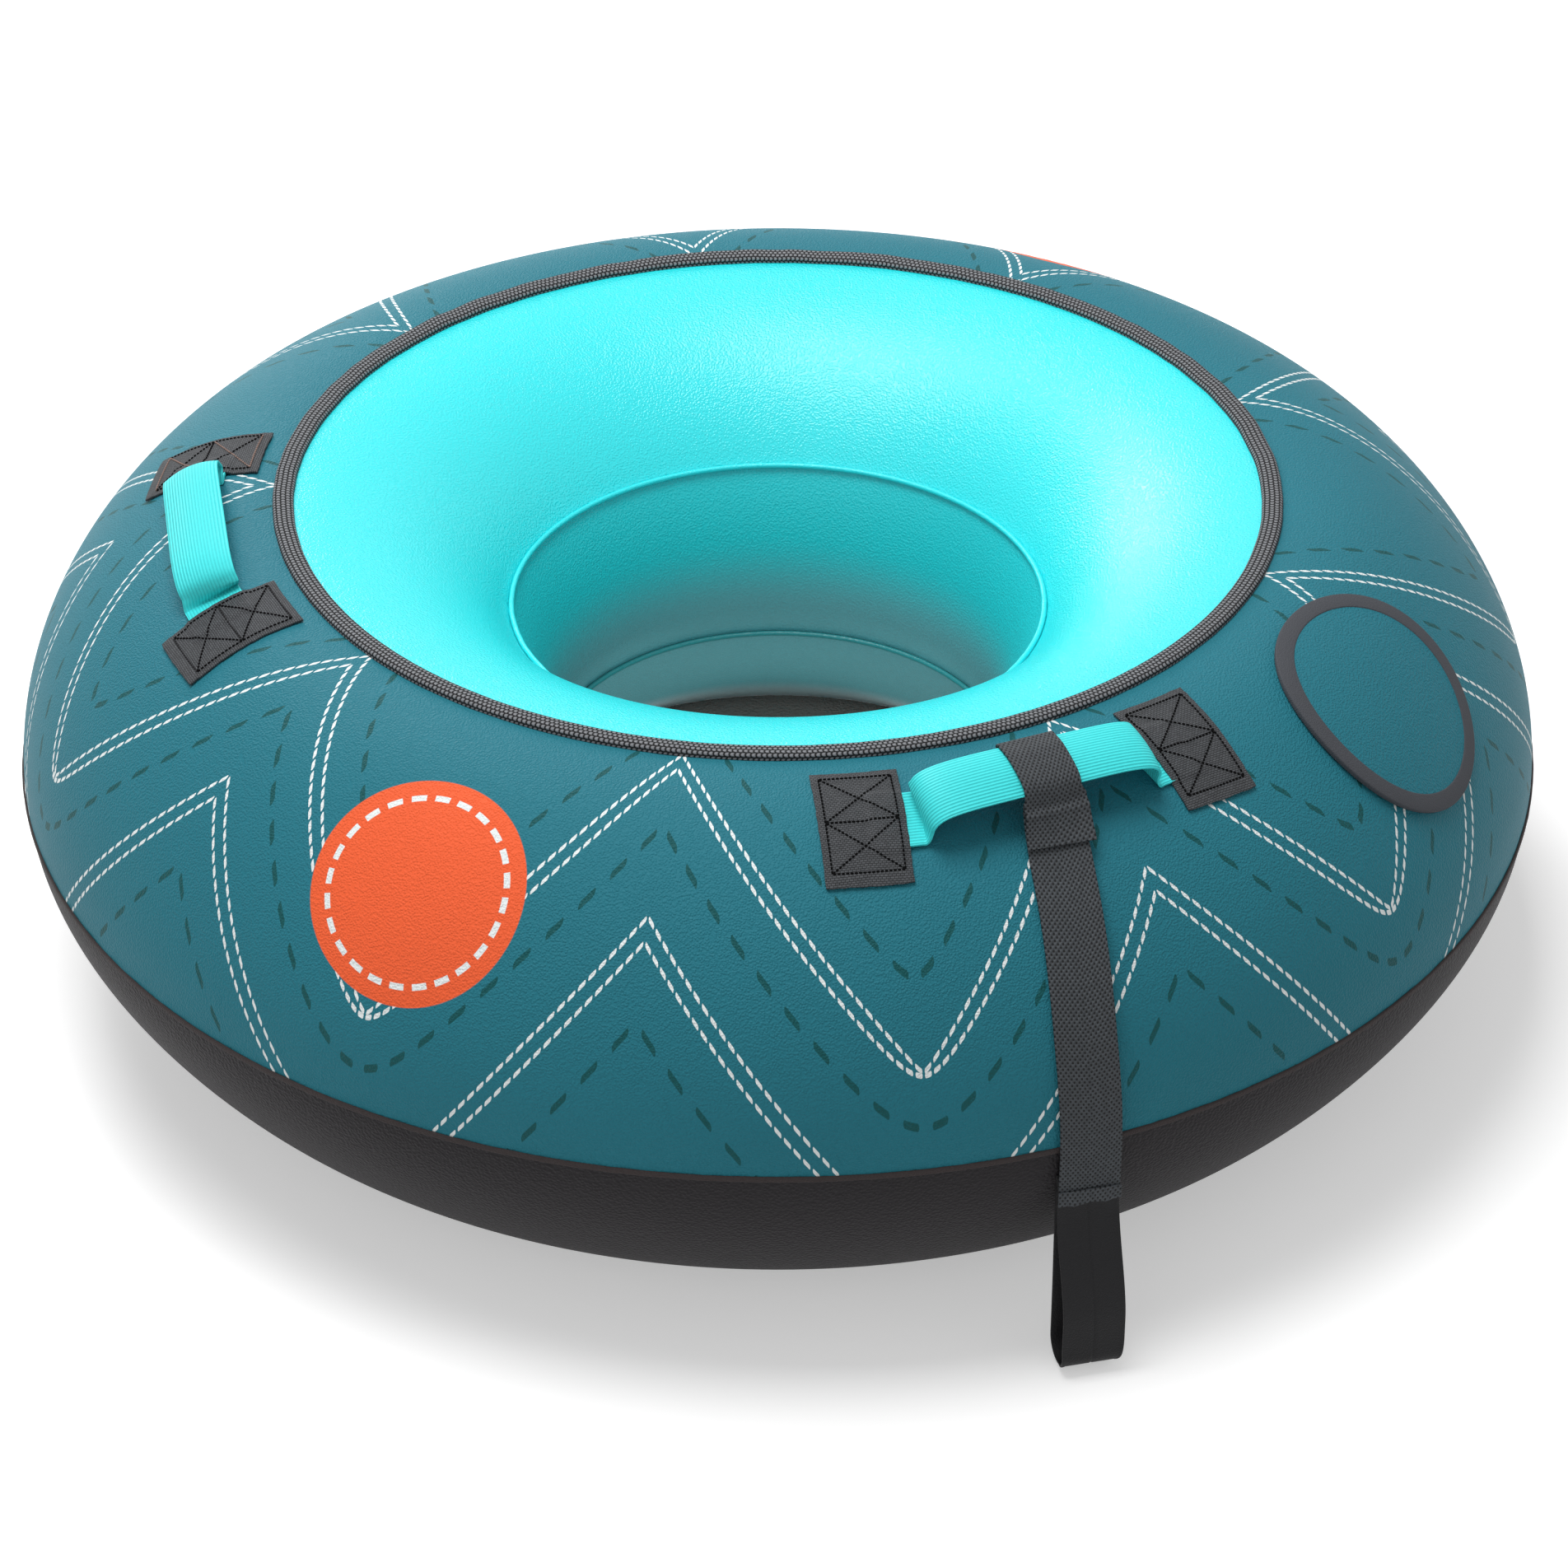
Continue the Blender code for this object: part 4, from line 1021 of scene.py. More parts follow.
def make_studio():
    """Three soft boxes over the tube, two small ones in its well, and a white surrounding."""
    for name, place, size, power in SOFTBOXES:
        make_softbox(name, place, STUDIO_CENTRE, size, power)
    for name, height, target, size, power in WELL_LAMPS:
        lamp = make_softbox(name, (0, 0, height), target, (size, size), power)
        lamp.visible_camera = False
        lamp.visible_glossy = False
    world = bpy.data.worlds.new("studio")
    bpy.context.scene.world = world
    world.use_nodes = True
    w = Wiring(world.node_tree)
    background = world.node_tree.nodes["Background"]
    path = w.node("ShaderNodeLightPath").outputs
    seen = w.add(path["Is Camera Ray"], path["Is Glossy Ray"], clamp=True)
    seen = w.add(seen, path["Is Transmission Ray"], clamp=True)
    w.feed(background.inputs["Color"], (1, 1, 1, 1))
    w.feed(background.inputs["Strength"], w.mul_add(seen, 1 - WORLD_LIGHT, WORLD_LIGHT))


def make_floor():
    """Pale floor that keeps the object's shadow and fades to white where it is only seen."""
    floor = fresh(bpy.ops.mesh.primitive_plane_add, "studio_floor", size=FLOOR_SIZE)
    material, w, sockets = new_material("studio_floor", 0.9, specular=0.0)
    nodes = material.node_tree.nodes
    shader = nodes["Principled BSDF"]
    sockets["Base Color"].default_value = FLOOR_PALE
    path = w.node("ShaderNodeLightPath").outputs
    seen = w.maximum(path["Is Camera Ray"], path["Is Glossy Ray"])
    seen = w.maximum(seen, path["Is Transmission Ray"])
    glow = w.node("ShaderNodeEmission")
    glow.inputs["Strength"].default_value = FLOOR_GLOW
    both = w.node("ShaderNodeAddShader")
    w.feed(both.inputs[0], shader.outputs["BSDF"])
    w.feed(both.inputs[1], glow.outputs["Emission"])
    choice = w.node("ShaderNodeMixShader")
    w.feed(choice.inputs["Fac"], seen)
    w.feed(choice.inputs[1], shader.outputs["BSDF"])
    w.feed(choice.inputs[2], both.outputs[0])
    w.feed(nodes["Material Output"].inputs["Surface"], choice.outputs[0])
    floor.data.materials.append(material)


# Routes of bands

class Route:
    """A smooth line through stations, each a middle and a direction across, read by length."""

    STEPS = 10

    def __init__(self, stations):
        rows = np.array([[*middle, *across] for middle, across in stations], float)
        rows = np.vstack([2 * rows[0] - rows[1], rows, 2 * rows[-1] - rows[-2]])
        fine = []
        for a, b, c, d in zip(rows, rows[1:], rows[2:], rows[3:]):
            for i in range(self.STEPS):
                s = i / self.STEPS
                fine.append(0.5 * (2 * b + (c - a) * s + (2 * a - 5 * b + 4 * c - d) * s ** 2
                                   + (3 * b - a - 3 * c + d) * s ** 3))
        fine.append(rows[-2])
        self.rows = np.array(fine)
        steps = np.linalg.norm(np.diff(self.rows[:, :3], axis=0), axis=1)
        self.lengths = np.concatenate([[0], np.cumsum(steps)])
        self.length = self.lengths[-1]

    def read(self, length):
        """Middle, direction across and direction outward at a length along the line."""
        row = np.array([np.interp(length, self.lengths, self.rows[:, i]) for i in range(6)])
        reach = self.length / 400
        ahead, behind = (np.array([np.interp(length + step, self.lengths, self.rows[:, i])
                                   for i in range(3)]) for step in (reach, -reach))
        across = Vector(row[3:]).normalized()
        along = Vector(ahead - behind).normalized()
        return Vector(row[:3]), across, across.cross(along).normalized()


def bend_band(band, route, lift=None, widen=None):
    """Bends a flat band along a route, its lower end at the start."""
    low = min(vertex.co.y for vertex in band.data.vertices)
    high = max(vertex.co.y for vertex in band.data.vertices)
    seen = {}

    def place(co):
        share = (co.y - low) / (high - low)
        key = round(share, 6)
        if key not in seen:
            seen[key] = route.read(route.length * share)
        middle, across, out = seen[key]
        x = co.x * (widen(share, co.x) if widen else 1)
        rise = lift(share, co.x) if lift else 0
        return middle + across * x + out * (rise + co.z)

    move_points(band, place)


# Cover, trim and inner tube

def pucker(angle_from, strength):
    """Small lift near a seam, gathered a little all round it."""
    def lift(turn, angle):
        near = max(0, 1 - abs(angle - angle_from) * UPPER_HALF_HEIGHT / PUCKER_REACH)
        if not near:
            return 0
        place = Vector((cos(turn), sin(turn), angle * 0.4)) * PUCKER_SCALE
        gathers = noise.noise(place * PUCKER_COARSE) + 0.5 * noise.noise(place * PUCKER_FINE)
        return strength * near * near * gathers
    return lift


def ring_wall(name, breaks, strength):
    """A wall of the cover between two seams, gathered a little at each."""
    trim = SEAM_GAP / (2 * LOWER_HALF_HEIGHT)
    angles = spread(breaks)
    angles[0] += trim
    angles[-1] -= trim
    piece = turned(name, [section(angle) for angle in angles])
    lifts = [pucker(seam, strength) for seam in (breaks[0], breaks[-1])]
    columns = {tuple(round(value, 5) for value in section(angle)): angle for angle in angles}

    def place(co):
        radius = hypot(co.x, co.y)
        angle = columns.get((round(radius, 5), round(co.z, 5)))
        if angle is None:
            angle = min(columns.items(), key=lambda row: hypot(row[0][0] - radius,
                                                               row[0][1] - co.z))[1]
        turn = turn_of(co)
        lift = sum(part(turn, angle) for part in lifts)
        moved = co + skin_normal(turn, angle) * lift
        return Vector((moved.x, moved.y, max(moved.z, 0)))

    move_points(piece, place)
    turn_out(piece)
    apply_modifier(piece, "SOLIDIFY", thickness=COVER_WALL, offset=-1)
    shade(piece)
    return piece


def turn_out(piece):
    """Turns an open wall's faces away from the middle of the tube's section."""
    mesh = piece.data
    mesh.update()
    facing = 0
    for face in list(mesh.polygons)[::FACE_SAMPLE_STEP]:
        core = ring_point(turn_of(face.center), CROWN_RADIUS, EQUATOR_HEIGHT)
        facing += face.normal.dot(face.center - core)
    if facing < 0:
        edit_all(piece, bpy.ops.mesh.flip_normals)


def make_cover():
    """The ring's five fabric walls, from the side seam up, in over the rim, down and under."""
    for node, label, breaks, slot, material in (
            ("top_cover", "top_cover_skin", (0, RIM_ANGLE), "cover_print", COVER_PRINT),
            ("seat_panel", "seat_panel_skin", (RIM_ANGLE, UPPER_PIPING_ANGLE),
             "seat_vinyl", SEAT_VINYL),
            ("throat_panel", "throat_panel_skin", (UPPER_PIPING_ANGLE, LOWER_PIPING_ANGLE),
             "well_vinyl", WELL_VINYL),
            ("lower_wall_panel", "lower_wall_skin", (LOWER_PIPING_ANGLE, FLOOR_SEAM_ANGLE),
             "well_vinyl", WELL_VINYL),
            ("bottom_shell", "bottom_shell_skin",
             (FLOOR_SEAM_ANGLE, FOOT_START_ANGLE, FOOT_END_ANGLE, FULL_TURN),
             "base_fabric", SHELL_FABRIC)):
        strength = PUCKER_RISE / 2 if node == "bottom_shell" else PUCKER_RISE
        wall = ring_wall(label, breaks, strength)
        if node == "top_cover":
            cut_at_port(wall, PORT_HOLE_RADIUS, 2 * PORT_HOLE_RADIUS, 96)
            shade(wall)
        ridden(wall, "root", slot, material, node)


def make_well_floor():
    """Closed floor, a little crowned where the ground snow presses it, thin at its seam."""
    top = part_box("floor_panel")[1].z
    seam_radius, seam_height = section(FLOOR_SEAM_ANGLE, SEAM_GAP)
    profile = []
    for i in range(FLOOR_RINGS + 1):
        share = i / FLOOR_RINGS
        drop = FLOOR_EDGE_DROP * eased((share - 0.94) / 0.06)
        profile.append(((seam_radius - 2 * SEAM_GAP) * share, top - drop))
    profile += [(seam_radius - SEAM_GAP, seam_height + SEAM_GAP), (0, seam_height)]
    floor = turned("well_floor", profile, ROUND_STEPS)

    def place(co):
        if co.z <= top - FLOOR_EDGE_DROP - 0.0001:
            return co.copy()
        share = hypot(co.x, co.y) / seam_radius
        wave = noise.noise(Vector((co.x * FLOOR_RIPPLE_SCALE, co.y * FLOOR_RIPPLE_SCALE, 0.3)))
        return co + Vector((0, 0, wave * FLOOR_RIPPLE * (1 - share ** 4)))

    move_points(floor, place)
    shade(floor)
    ridden(floor, "root", "base_fabric", FLOOR_FABRIC, "floor_panel")


def store_ring_map(piece, profile):
    """A flat map in metres of a turned piece: across its profile and along the rim."""
    mesh = piece.data
    co = np.array([vertex.co[:] for vertex in mesh.vertices])
    line = np.array(profile)
    steps = np.linalg.norm(np.diff(line, axis=0), axis=1)
    lengths = np.concatenate([[0], np.cumsum(steps)])
    places = np.stack([np.hypot(co[:, 0], co[:, 1]), co[:, 2]], 1)
    nearest = np.argmin(((places[:, None] - line[None]) ** 2).sum(-1), axis=1)
    across = lengths[nearest] - lengths[-1] / 2
    turn = np.arctan2(co[:, 1], co[:, 0])
    layer = mesh.uv_layers.new(name="flat")
    for face in mesh.polygons:
        turns = turn[list(face.vertices)]
        if turns.max() - turns.min() > pi:
            turns = np.where(turns < 0, turns + FULL_TURN, turns)
        for loop, vertex, here in zip(face.loop_indices, face.vertices, turns):
            layer.data[loop].uv = (across[vertex], here * RIM_RADIUS)


def make_rim_binding():
    """Folded tape over the seam, rounded, and pulled a little uneven by its stitching."""
    half_angle = BINDING_WIDTH / 2 / section_speed(RIM_ANGLE)
    power = 2 / BINDING_SQUARENESS
    profile = []
    for i in range(BINDING_POINTS + 1):
        angle = pi * i / BINDING_POINTS
        across = abs(cos(angle)) ** power * (1 if cos(angle) > 0 else -1)
        rise = max(sin(angle), 0) ** power
        profile.append(section(RIM_ANGLE - across * half_angle, SEAM_GAP + rise * BINDING_RISE))
    profile.append(profile[0])
    binding = turned("rim_binding_tape", profile, AROUND * 2)
    store_ring_map(binding, profile[:-1])
    _, skin = section(RIM_ANGLE)

    def place(co):
        turn = turn_of(co)
        wave = unevenness(turn, 16, 0.7)
        rise = wave * BINDING_WAVE + unevenness(turn, 70, 0.2) * BINDING_SHAKE
        share = max(0, (co.z - skin) / BINDING_RISE)
        return co + Vector((0, 0, rise * share)) + outward(turn) * (wave * BINDING_SWAY)

    move_points(binding, place)
    shade(binding, radians(60))
    ridden(binding, "root", "edge_binding", EDGE_BINDING, "rim_binding")


def make_piping(name, angle, slot, material, node):
    """Thin cord sewn in between two walls of the well."""
    radius, height = section(angle, PIPING_RADIUS + SEAM_GAP)
    piping = fresh(bpy.ops.mesh.primitive_torus_add, name, major_radius=radius,
                   minor_radius=PIPING_RADIUS, major_segments=AROUND, minor_segments=14,
                   generate_uvs=False)

    def place(co):
        turn = turn_of(co)
        shift = skin_normal(turn, angle) * unevenness(turn, 40, angle) * PIPING_SHAKE
        return co + Vector((0, 0, height)) + shift

    move_points(piping, place)
    shade(piping, radians(80))
    ridden(piping, "root", slot, material, node)


def make_side_hem():
    """Turned edge of the bottom shell over the cover's lower edge, sewn down all round."""
    half_angle = HEM_WIDTH / 2 / section_speed(0)
    profile = []
    for i in range(HEM_POINTS + 1):
        share = i / HEM_POINTS
        rise = min(1, sin(pi * share) * HEM_SHOULDER)
        profile.append(section(half_angle * (1 - 2 * share), SEAM_GAP + HEM_RISE * rise))
    profile += [section(-half_angle, SEAM_GAP / 2), section(half_angle, SEAM_GAP / 2), profile[0]]
    hem = turned("side_hem", profile, AROUND * 2)

    def place(co):
        turn = turn_of(co)
        shake = unevenness(turn, 60, 0.4) * HEM_SHAKE
        return co + Vector((0, 0, 2 * shake)) + outward(turn) * shake

    move_points(hem, place)
    shade(hem, radians(70))
    ridden(hem, "root", "base_fabric", HEM_THREAD, "side_welt")


def make_bladder():
    """Inflatable ring inside the cover, with a hole for the valve."""
    lift = -(COVER_WALL + SEAM_GAP)
    profile = [section(angle, lift) for angle in spread((0, pi, FULL_TURN))]
    profile = [(radius, max(height, -lift)) for radius, height in profile]
    bladder = turned("inner_tube_skin", profile, BLADDER_STEPS)
    turn_out(bladder)
    apply_modifier(bladder, "SOLIDIFY", thickness=BLADDER_WALL, offset=-1)
    cut_at_port(bladder, VALVE_BARREL_RADIUS + SEAM_GAP, VALVE_DEPTH, 48)
    shade(bladder)
    ridden(bladder, "root", "bladder", BLADDER_VINYL, "inner_tube")


# Handles

def handle_angle(turn, from_crown=HANDLE_FROM_CROWN):
    """Section angle of a handle's middle line, or of its patches."""
    return TOP_ANGLE - (from_crown + HANDLE_SHIFTS[turn]) / OUTER_HALF_WIDTH


def handle_frame(turn):
    """Place midway between the handle's feet: X along the handle, Y up the section, Z out."""
    angle = handle_angle(turn)
    radius, _ = section(angle)
    foot_turn = PATCH_SPREAD_ANGLE - PATCH_WIDTH / 2 / radius
    place = skin_frame(turn, angle)
    place.translation -= outward(turn) * (radius * (1 - cos(foot_turn)))
    return place


def patch_lift(side):
    """Height of a patch's underside over the cover: raised over the band that it holds."""
    def lift(x, y):
        from_grip = x * side + PATCH_WIDTH / 2
        over_band = eased((TUCK_LENGTH + 0.005 - from_grip) / 0.006)
        over_band *= eased((WEBBING_WIDTH / 2 + 0.0045 - abs(y - BAND_FROM_PATCH)) / 0.005)
        hem = eased((abs(y) - PATCH_LENGTH / 2 + PATCH_HEM) / 0.0012)
        edge = min(PATCH_WIDTH / 2 - abs(x), PATCH_LENGTH / 2 - abs(y))
        crown = PATCH_CROWN * eased(edge / 0.009)
        return PATCH_LIFT + crown + PATCH_OVER_BAND * over_band + PATCH_HEM_RISE * hem
    return lift


def make_patch(name, turn, angle, side, twist, node):
    """Woven patch over the end of a handle's band, with turned ends."""
    patch = flat_band(name, PATCH_WIDTH, PATCH_LENGTH, 40, 66)
    on_skin = laid_on_skin(turn, angle)
    lift = patch_lift(side)

    def lay(x, y, height):
        return on_skin(x * cos(twist) - y * sin(twist), x * sin(twist) + y * cos(twist), height)

    def near(value, size):
        return eased((abs(value) - size / 2 + FRAY_REACH) / FRAY_REACH)

    def place(co):
        fray = noise.noise(Vector((co.x * FRAY_SCALE, co.y * FRAY_SCALE, turn))) * FRAY
        return lay(co.x + fray * near(co.x, PATCH_WIDTH), co.y + fray * near(co.y, PATCH_LENGTH),
                   lift(co.x, co.y))

    move_points(patch, place)
    thicken(patch, PATCH_THICKNESS, 0.00035, offset=1)
    ridden(patch, "root", "patch_webbing", PATCH_WEAVE, node)
    return lay, lift


# Rows of the left patches that are sewn in another thread, by their place in sewn_lines
OTHER_ROWS = {"left_handle_patch_back": ((0, 2, 5, 7), BROWN_THREAD),
              "left_handle_patch_front": ((0, 2, 4), GREY_THREAD)}


def sewn_lines():
    """Stitch lines on a patch: a box, a line across its middle and a cross in each half."""
    right = PATCH_WIDTH / 2 - SEAM_FROM_SIDE
    left = -right
    low, high = -PATCH_LENGTH / 2 + SEAM_FROM_LOW_END, PATCH_LENGTH / 2 - SEAM_FROM_HIGH_END
    middle = (low + high) / 2
    lines = [((left, low), (right, low)), ((right, low), (right, high)),
             ((right, high), (left, high)), ((left, high), (left, low)),
             ((left, middle), (right, middle))]
    for start, end in ((low, middle), (middle, high)):
        lines += [((left, start), (right, end)), ((left, end), (right, start))]
    return lines


def make_stitches(name, rows, lay, lift, material):
    """Thread on a patch: one stitch, modelled once and copied along each row."""
    stitch = fresh(bpy.ops.mesh.primitive_uv_sphere_add, "one_stitch", segments=6, ring_count=5,
                   radius=0.5, calc_uvs=False)
    bpy.ops.transform.resize(value=(THREAD_THICKNESS, THREAD_THICKNESS, STITCH_LENGTH))
    bpy.ops.object.transform_apply(location=False, rotation=False, scale=True)
    proud = PATCH_THICKNESS + THREAD_THICKNESS * THREAD_PROUD
    copies = []
    for start, end in rows:
        start, end = Vector(start), Vector(end)
        count = round((end - start).length / STITCH_PITCH)
        along = (end - start).normalized()
        for i in range(count):
            at = start + (end - start) * (i + 0.5) / count
            here = lay(*at, lift(*at) + proud)
            ahead = at + along * STITCH_LENGTH
            direction = (lay(*ahead, lift(*ahead) + proud) - here).normalized()
            turning = direction.to_track_quat("Z", "Y").to_matrix().to_4x4()
            copy = stitch.copy()
            copy.data = stitch.data.copy()
            bpy.context.scene.collection.objects.link(copy)
            copy.matrix_world = Matrix.Translation(here) @ turning
            copies.append(copy)
    bpy.data.objects.remove(stitch, do_unlink=True)
    bpy.ops.object.select_all(action="DESELECT")
    for copy in copies:
        copy.select_set(True)
    bpy.context.view_layer.objects.active = copies[0]
    bpy.ops.object.join()
    stitches = bpy.context.object
    stitches.name = name
    bpy.ops.object.transform_apply(location=True, rotation=True, scale=True)
    shade(stitches, radians(80))
    ridden(stitches, "root", "patch_webbing", material)


def sew_patch(node, lay, lift):
    """All rows of a patch, in black or in the other thread that some rows have."""
    other, thread = OTHER_ROWS.get(node, ((), None))
    lines = sewn_lines()
    black = [line for i, line in enumerate(lines) if i not in other]
    make_stitches(f"{node}_stitches", black, lay, lift, THREAD)
    if other:
        make_stitches(f"{node}_other_stitches", [lines[i] for i in other], lay, lift, thread)


def cross_shape(turn, x):
    """How far a grip's band is arched and tipped at a distance outward from its middle."""
    middle, arch, tip = HANDLE_CROSS_SHAPES[turn]
    share = 2 * x / WEBBING_WIDTH
    return middle - arch * share * share + tip * share


def handle_stations(turn):
    """Middle line of a handle's band from under one patch to under the other."""
    place = handle_frame(turn)
    across = -place.col[1].to_3d()
    power = 2 / HANDLE_SQUARENESS
    first = TOP_ANGLE - acos((LEG_HEIGHT / HANDLE_RISE) ** (HANDLE_SQUARENESS / 2))
    arch = []
    for i in range(ARCH_POINTS + 1):
        angle = first + (pi - 2 * first) * i / ARCH_POINTS
        height = HANDLE_RISE * sin(angle) ** power
        reach = HANDLE_HALF_SPAN * abs(cos(angle)) ** power
        side = 1 if cos(angle) > 0 else -1
        arch.append((place @ Vector((side * reach, 0, height)), across))
    ends = []
    lift = SEAM_GAP + HANDLE_THICKNESS / 2
    for side in (1, -1):
        lay = laid_on_skin(turn + side * PATCH_SPREAD_ANGLE, handle_angle(turn, PATCH_FROM_CROWN))
        end = []
        for reach in FOOT_REACHES:
            x = side * (reach - PATCH_WIDTH / 2)
            middle = lay(x, BAND_FROM_PATCH, lift)
            low, high = (lay(x, BAND_FROM_PATCH + step, lift) for step in (-0.01, 0.01))
            end.append((middle, (low - high).normalized()))
        ends.append(end)
    return ends[0][::-1] + arch + ends[1]


def make_handle(label, turn, nodes):
    """One continuous band: sewn down at both ends, raised in a square-shouldered arch."""
    route = Route(handle_stations(turn))
    band = flat_band(f"{label}_band", WEBBING_WIDTH, route.length, 16, 150)

    def lift(share, x):
        sag = HANDLE_SAG * sin(share * pi * 3 + x * 90)
        from_end = min(share, 1 - share)
        return sag * eased(from_end / 0.2) - cross_shape(turn, x) * eased((from_end - 0.10) / 0.13)

    bend_band(band, route, lift=lift)
    thicken(band, HANDLE_THICKNESS, BAND_EDGE)
    band.data.materials.append(HANDLE_WEBBING)
    place = handle_frame(turn)
    start, end = (tuple(place @ Vector((0, 0, height))) for height in HANDLE_BLEND)
    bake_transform(band)
    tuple(start)
    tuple(end)
    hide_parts(*nodes)


def make_handles():
    """Both handles: each one's band, and the patches that hold its ends."""
    for label, turn, sides in (
            ("front_handle", FRONT_HANDLE_TURN,
             ((-1, "left", 0), (1, "right", RIGHT_PATCH_TWIST))),
            ("left_handle", LEFT_HANDLE_TURN, ((-1, "back", 0), (1, "front", 0)))):
        feet = [f"{label}_foot_{side_name}" for _, side_name, _ in sides]
        make_handle(label, turn, [f"{label}_grip", *feet])
        patch_angle = handle_angle(turn, PATCH_FROM_CROWN)
        for side, side_name, twist in sides:
            patch_turn = turn + side * PATCH_SPREAD_ANGLE
            node = f"{label}_patch_{side_name}"
            lay, lift = make_patch(f"{node}_cloth", patch_turn, patch_angle, side, twist, node)
            sew_patch(node, lay, lift)


# Tow strap and hand loop

def strap_hinge():
    """Radius and height of the strap's hinge, just below the collar's outer edge."""
    place = handle_frame(FRONT_HANDLE_TURN)
    wall = COLLAR_CLEARANCE + STRAP_THICKNESS
    half_wide, half_high = WEBBING_WIDTH / 2 + wall, HANDLE_THICKNESS / 2 + wall
    corner = half_high * COLLAR_CORNER_SHARE
    lowest = place @ Vector((0, corner - half_wide, HANDLE_RISE - half_high))
    outermost = place @ Vector((0, -half_wide, HANDLE_RISE + half_high))
    return outermost.to_2d().length + SEAM_GAP, lowest.z - SEAM_GAP


def strap_middles():
    """Radius and height along the strap: free fall, along the skin, then straight down."""
    hinge_radius, hinge_height = strap_hinge()
    start = Vector((hinge_radius - STRAP_THICKNESS * 1.5 - SEAM_GAP, hinge_height))
    contact = Vector(section(STRAP_CONTACT_ANGLE, CONTACT_LIFT))
    downhill = -section_rate(STRAP_CONTACT_ANGLE).normalized()
    fall = Vector((0, -FALL_PULL))
    middles = []
    for i in range(FALL_STATIONS):
        s = i / FALL_STATIONS
        middles.append(start * (2 * s ** 3 - 3 * s ** 2 + 1) + fall * (s ** 3 - 2 * s ** 2 + s)
                       + contact * (3 * s ** 2 - 2 * s ** 3)
                       + downhill * (CONTACT_PULL * (s ** 3 - s ** 2)))
    for i in range(SKIN_STATIONS):
        s = i / SKIN_STATIONS
        lift = CONTACT_LIFT + (SIDE_LIFT - CONTACT_LIFT) * s
        middles.append(Vector(section(STRAP_CONTACT_ANGLE * (1 - s), lift)))
    for i in range(DROP_STATIONS + 1):
        drop = STRAP_DROP * i / DROP_STATIONS
        middles.append(Vector((TUBE_RADIUS + SIDE_LIFT, EQUATOR_HEIGHT - drop)))
    return middles


def strap_stations():
    """Middles of the strap and their directions across, turned a little as it hangs."""
    middles = strap_middles()
    start_radius, end_radius = middles[0].x, middles[-1].x
    stations = []
    length = 0
    for i, middle in enumerate(middles):
        if i:
            length += (middle - middles[i - 1]).length
        share = (middle.x - start_radius) / (end_radius - start_radius)
        sway = STRAP_SWAY * eased((length - SWAY_START) / SWAY_LENGTH)
        turn = FRONT_HANDLE_TURN + STRAP_TURN * share + sway
        twist = FRONT_HANDLE_TURN + STRAP_TWIST * eased(length / TWIST_LENGTH)
        stations.append((ring_point(turn, middle.x, middle.y), -sideways(twist)))
    return stations


def make_strap(route):
    """Main length of the strap, from behind its own tail to the hand loop."""
    strap = flat_band("tow_strap_webbing", WEBBING_WIDTH, route.length, 16, 170)

    def lift(share, x):
        cup = (x / WEBBING_WIDTH) ** 2 * STRAP_CUP * sin(share * pi)
        wave = noise.noise(Vector((share * 7, x * 30, 0.5)))
        return STRAP_WAVE * wave * eased(share * 5) - cup

    bend_band(strap, route, lift=lift)
    thicken(strap, STRAP_THICKNESS, BAND_EDGE)
    ridden(strap, "tow_strap", "strap_webbing", STRAP_WEAVE, "tow_strap")
    return strap


def outward_read(route, length):
    """Place on the strap's route, with its third direction away from the ring."""
    middle, across, out = route.read(length)
    if out.dot(outward(FRONT_HANDLE_TURN)) < 0:
        out.negate()
    return middle, across, out


def collar_stations(strap_route):
    """From below the grip, round its inner edge, over it and down as the sewn tail."""
    place = handle_frame(FRONT_HANDLE_TURN)
    across = -place.col[0].to_3d()
    gap = HANDLE_THICKNESS / 2 + COLLAR_CLEARANCE + STRAP_THICKNESS / 2
    reach = WEBBING_WIDTH / 2
    stations = []
    for sideward, beyond, upward in COLLAR_TURNS:
        y = sideward * reach + beyond * gap
        height = HANDLE_RISE + upward * gap + cross_shape(FRONT_HANDLE_TURN, max(-y, -reach))
        stations.append((place @ Vector((0, y, height)), across))
    for length, hump in TAIL_HUMPS:
        middle, strap_across, out = outward_read(strap_route, length)
        lift = STRAP_THICKNESS + 2 * SEAM_GAP + hump
        stations.append((middle + out * lift, strap_across))
    return stations


def make_collar(strap_route):
    """The strap's end: turned round the handle and sewn down over the strap."""
    route = Route(collar_stations(strap_route))
    band = flat_band("tow_collar_and_tail", WEBBING_WIDTH, route.length, 16, 110)

    def widen(share, x):
        half = 0 if x < 0 else 1
        tail = eased((share - 0.72) / 0.05)
        flare = eased((share - 0.76) / 0.24)
        return COLLAR_SLIMNESS + tail * TAIL_WIDER[half] + flare * TAIL_FLARE[half]

    bend_band(band, route, widen=widen)
    thicken(band, STRAP_THICKNESS, BAND_EDGE)
    band.data.materials.append(STRAP_WEAVE)
    hinge = ring_point(FRONT_HANDLE_TURN, *strap_hinge())
    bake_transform(band)
    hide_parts("tow_collar", "tow_tail")


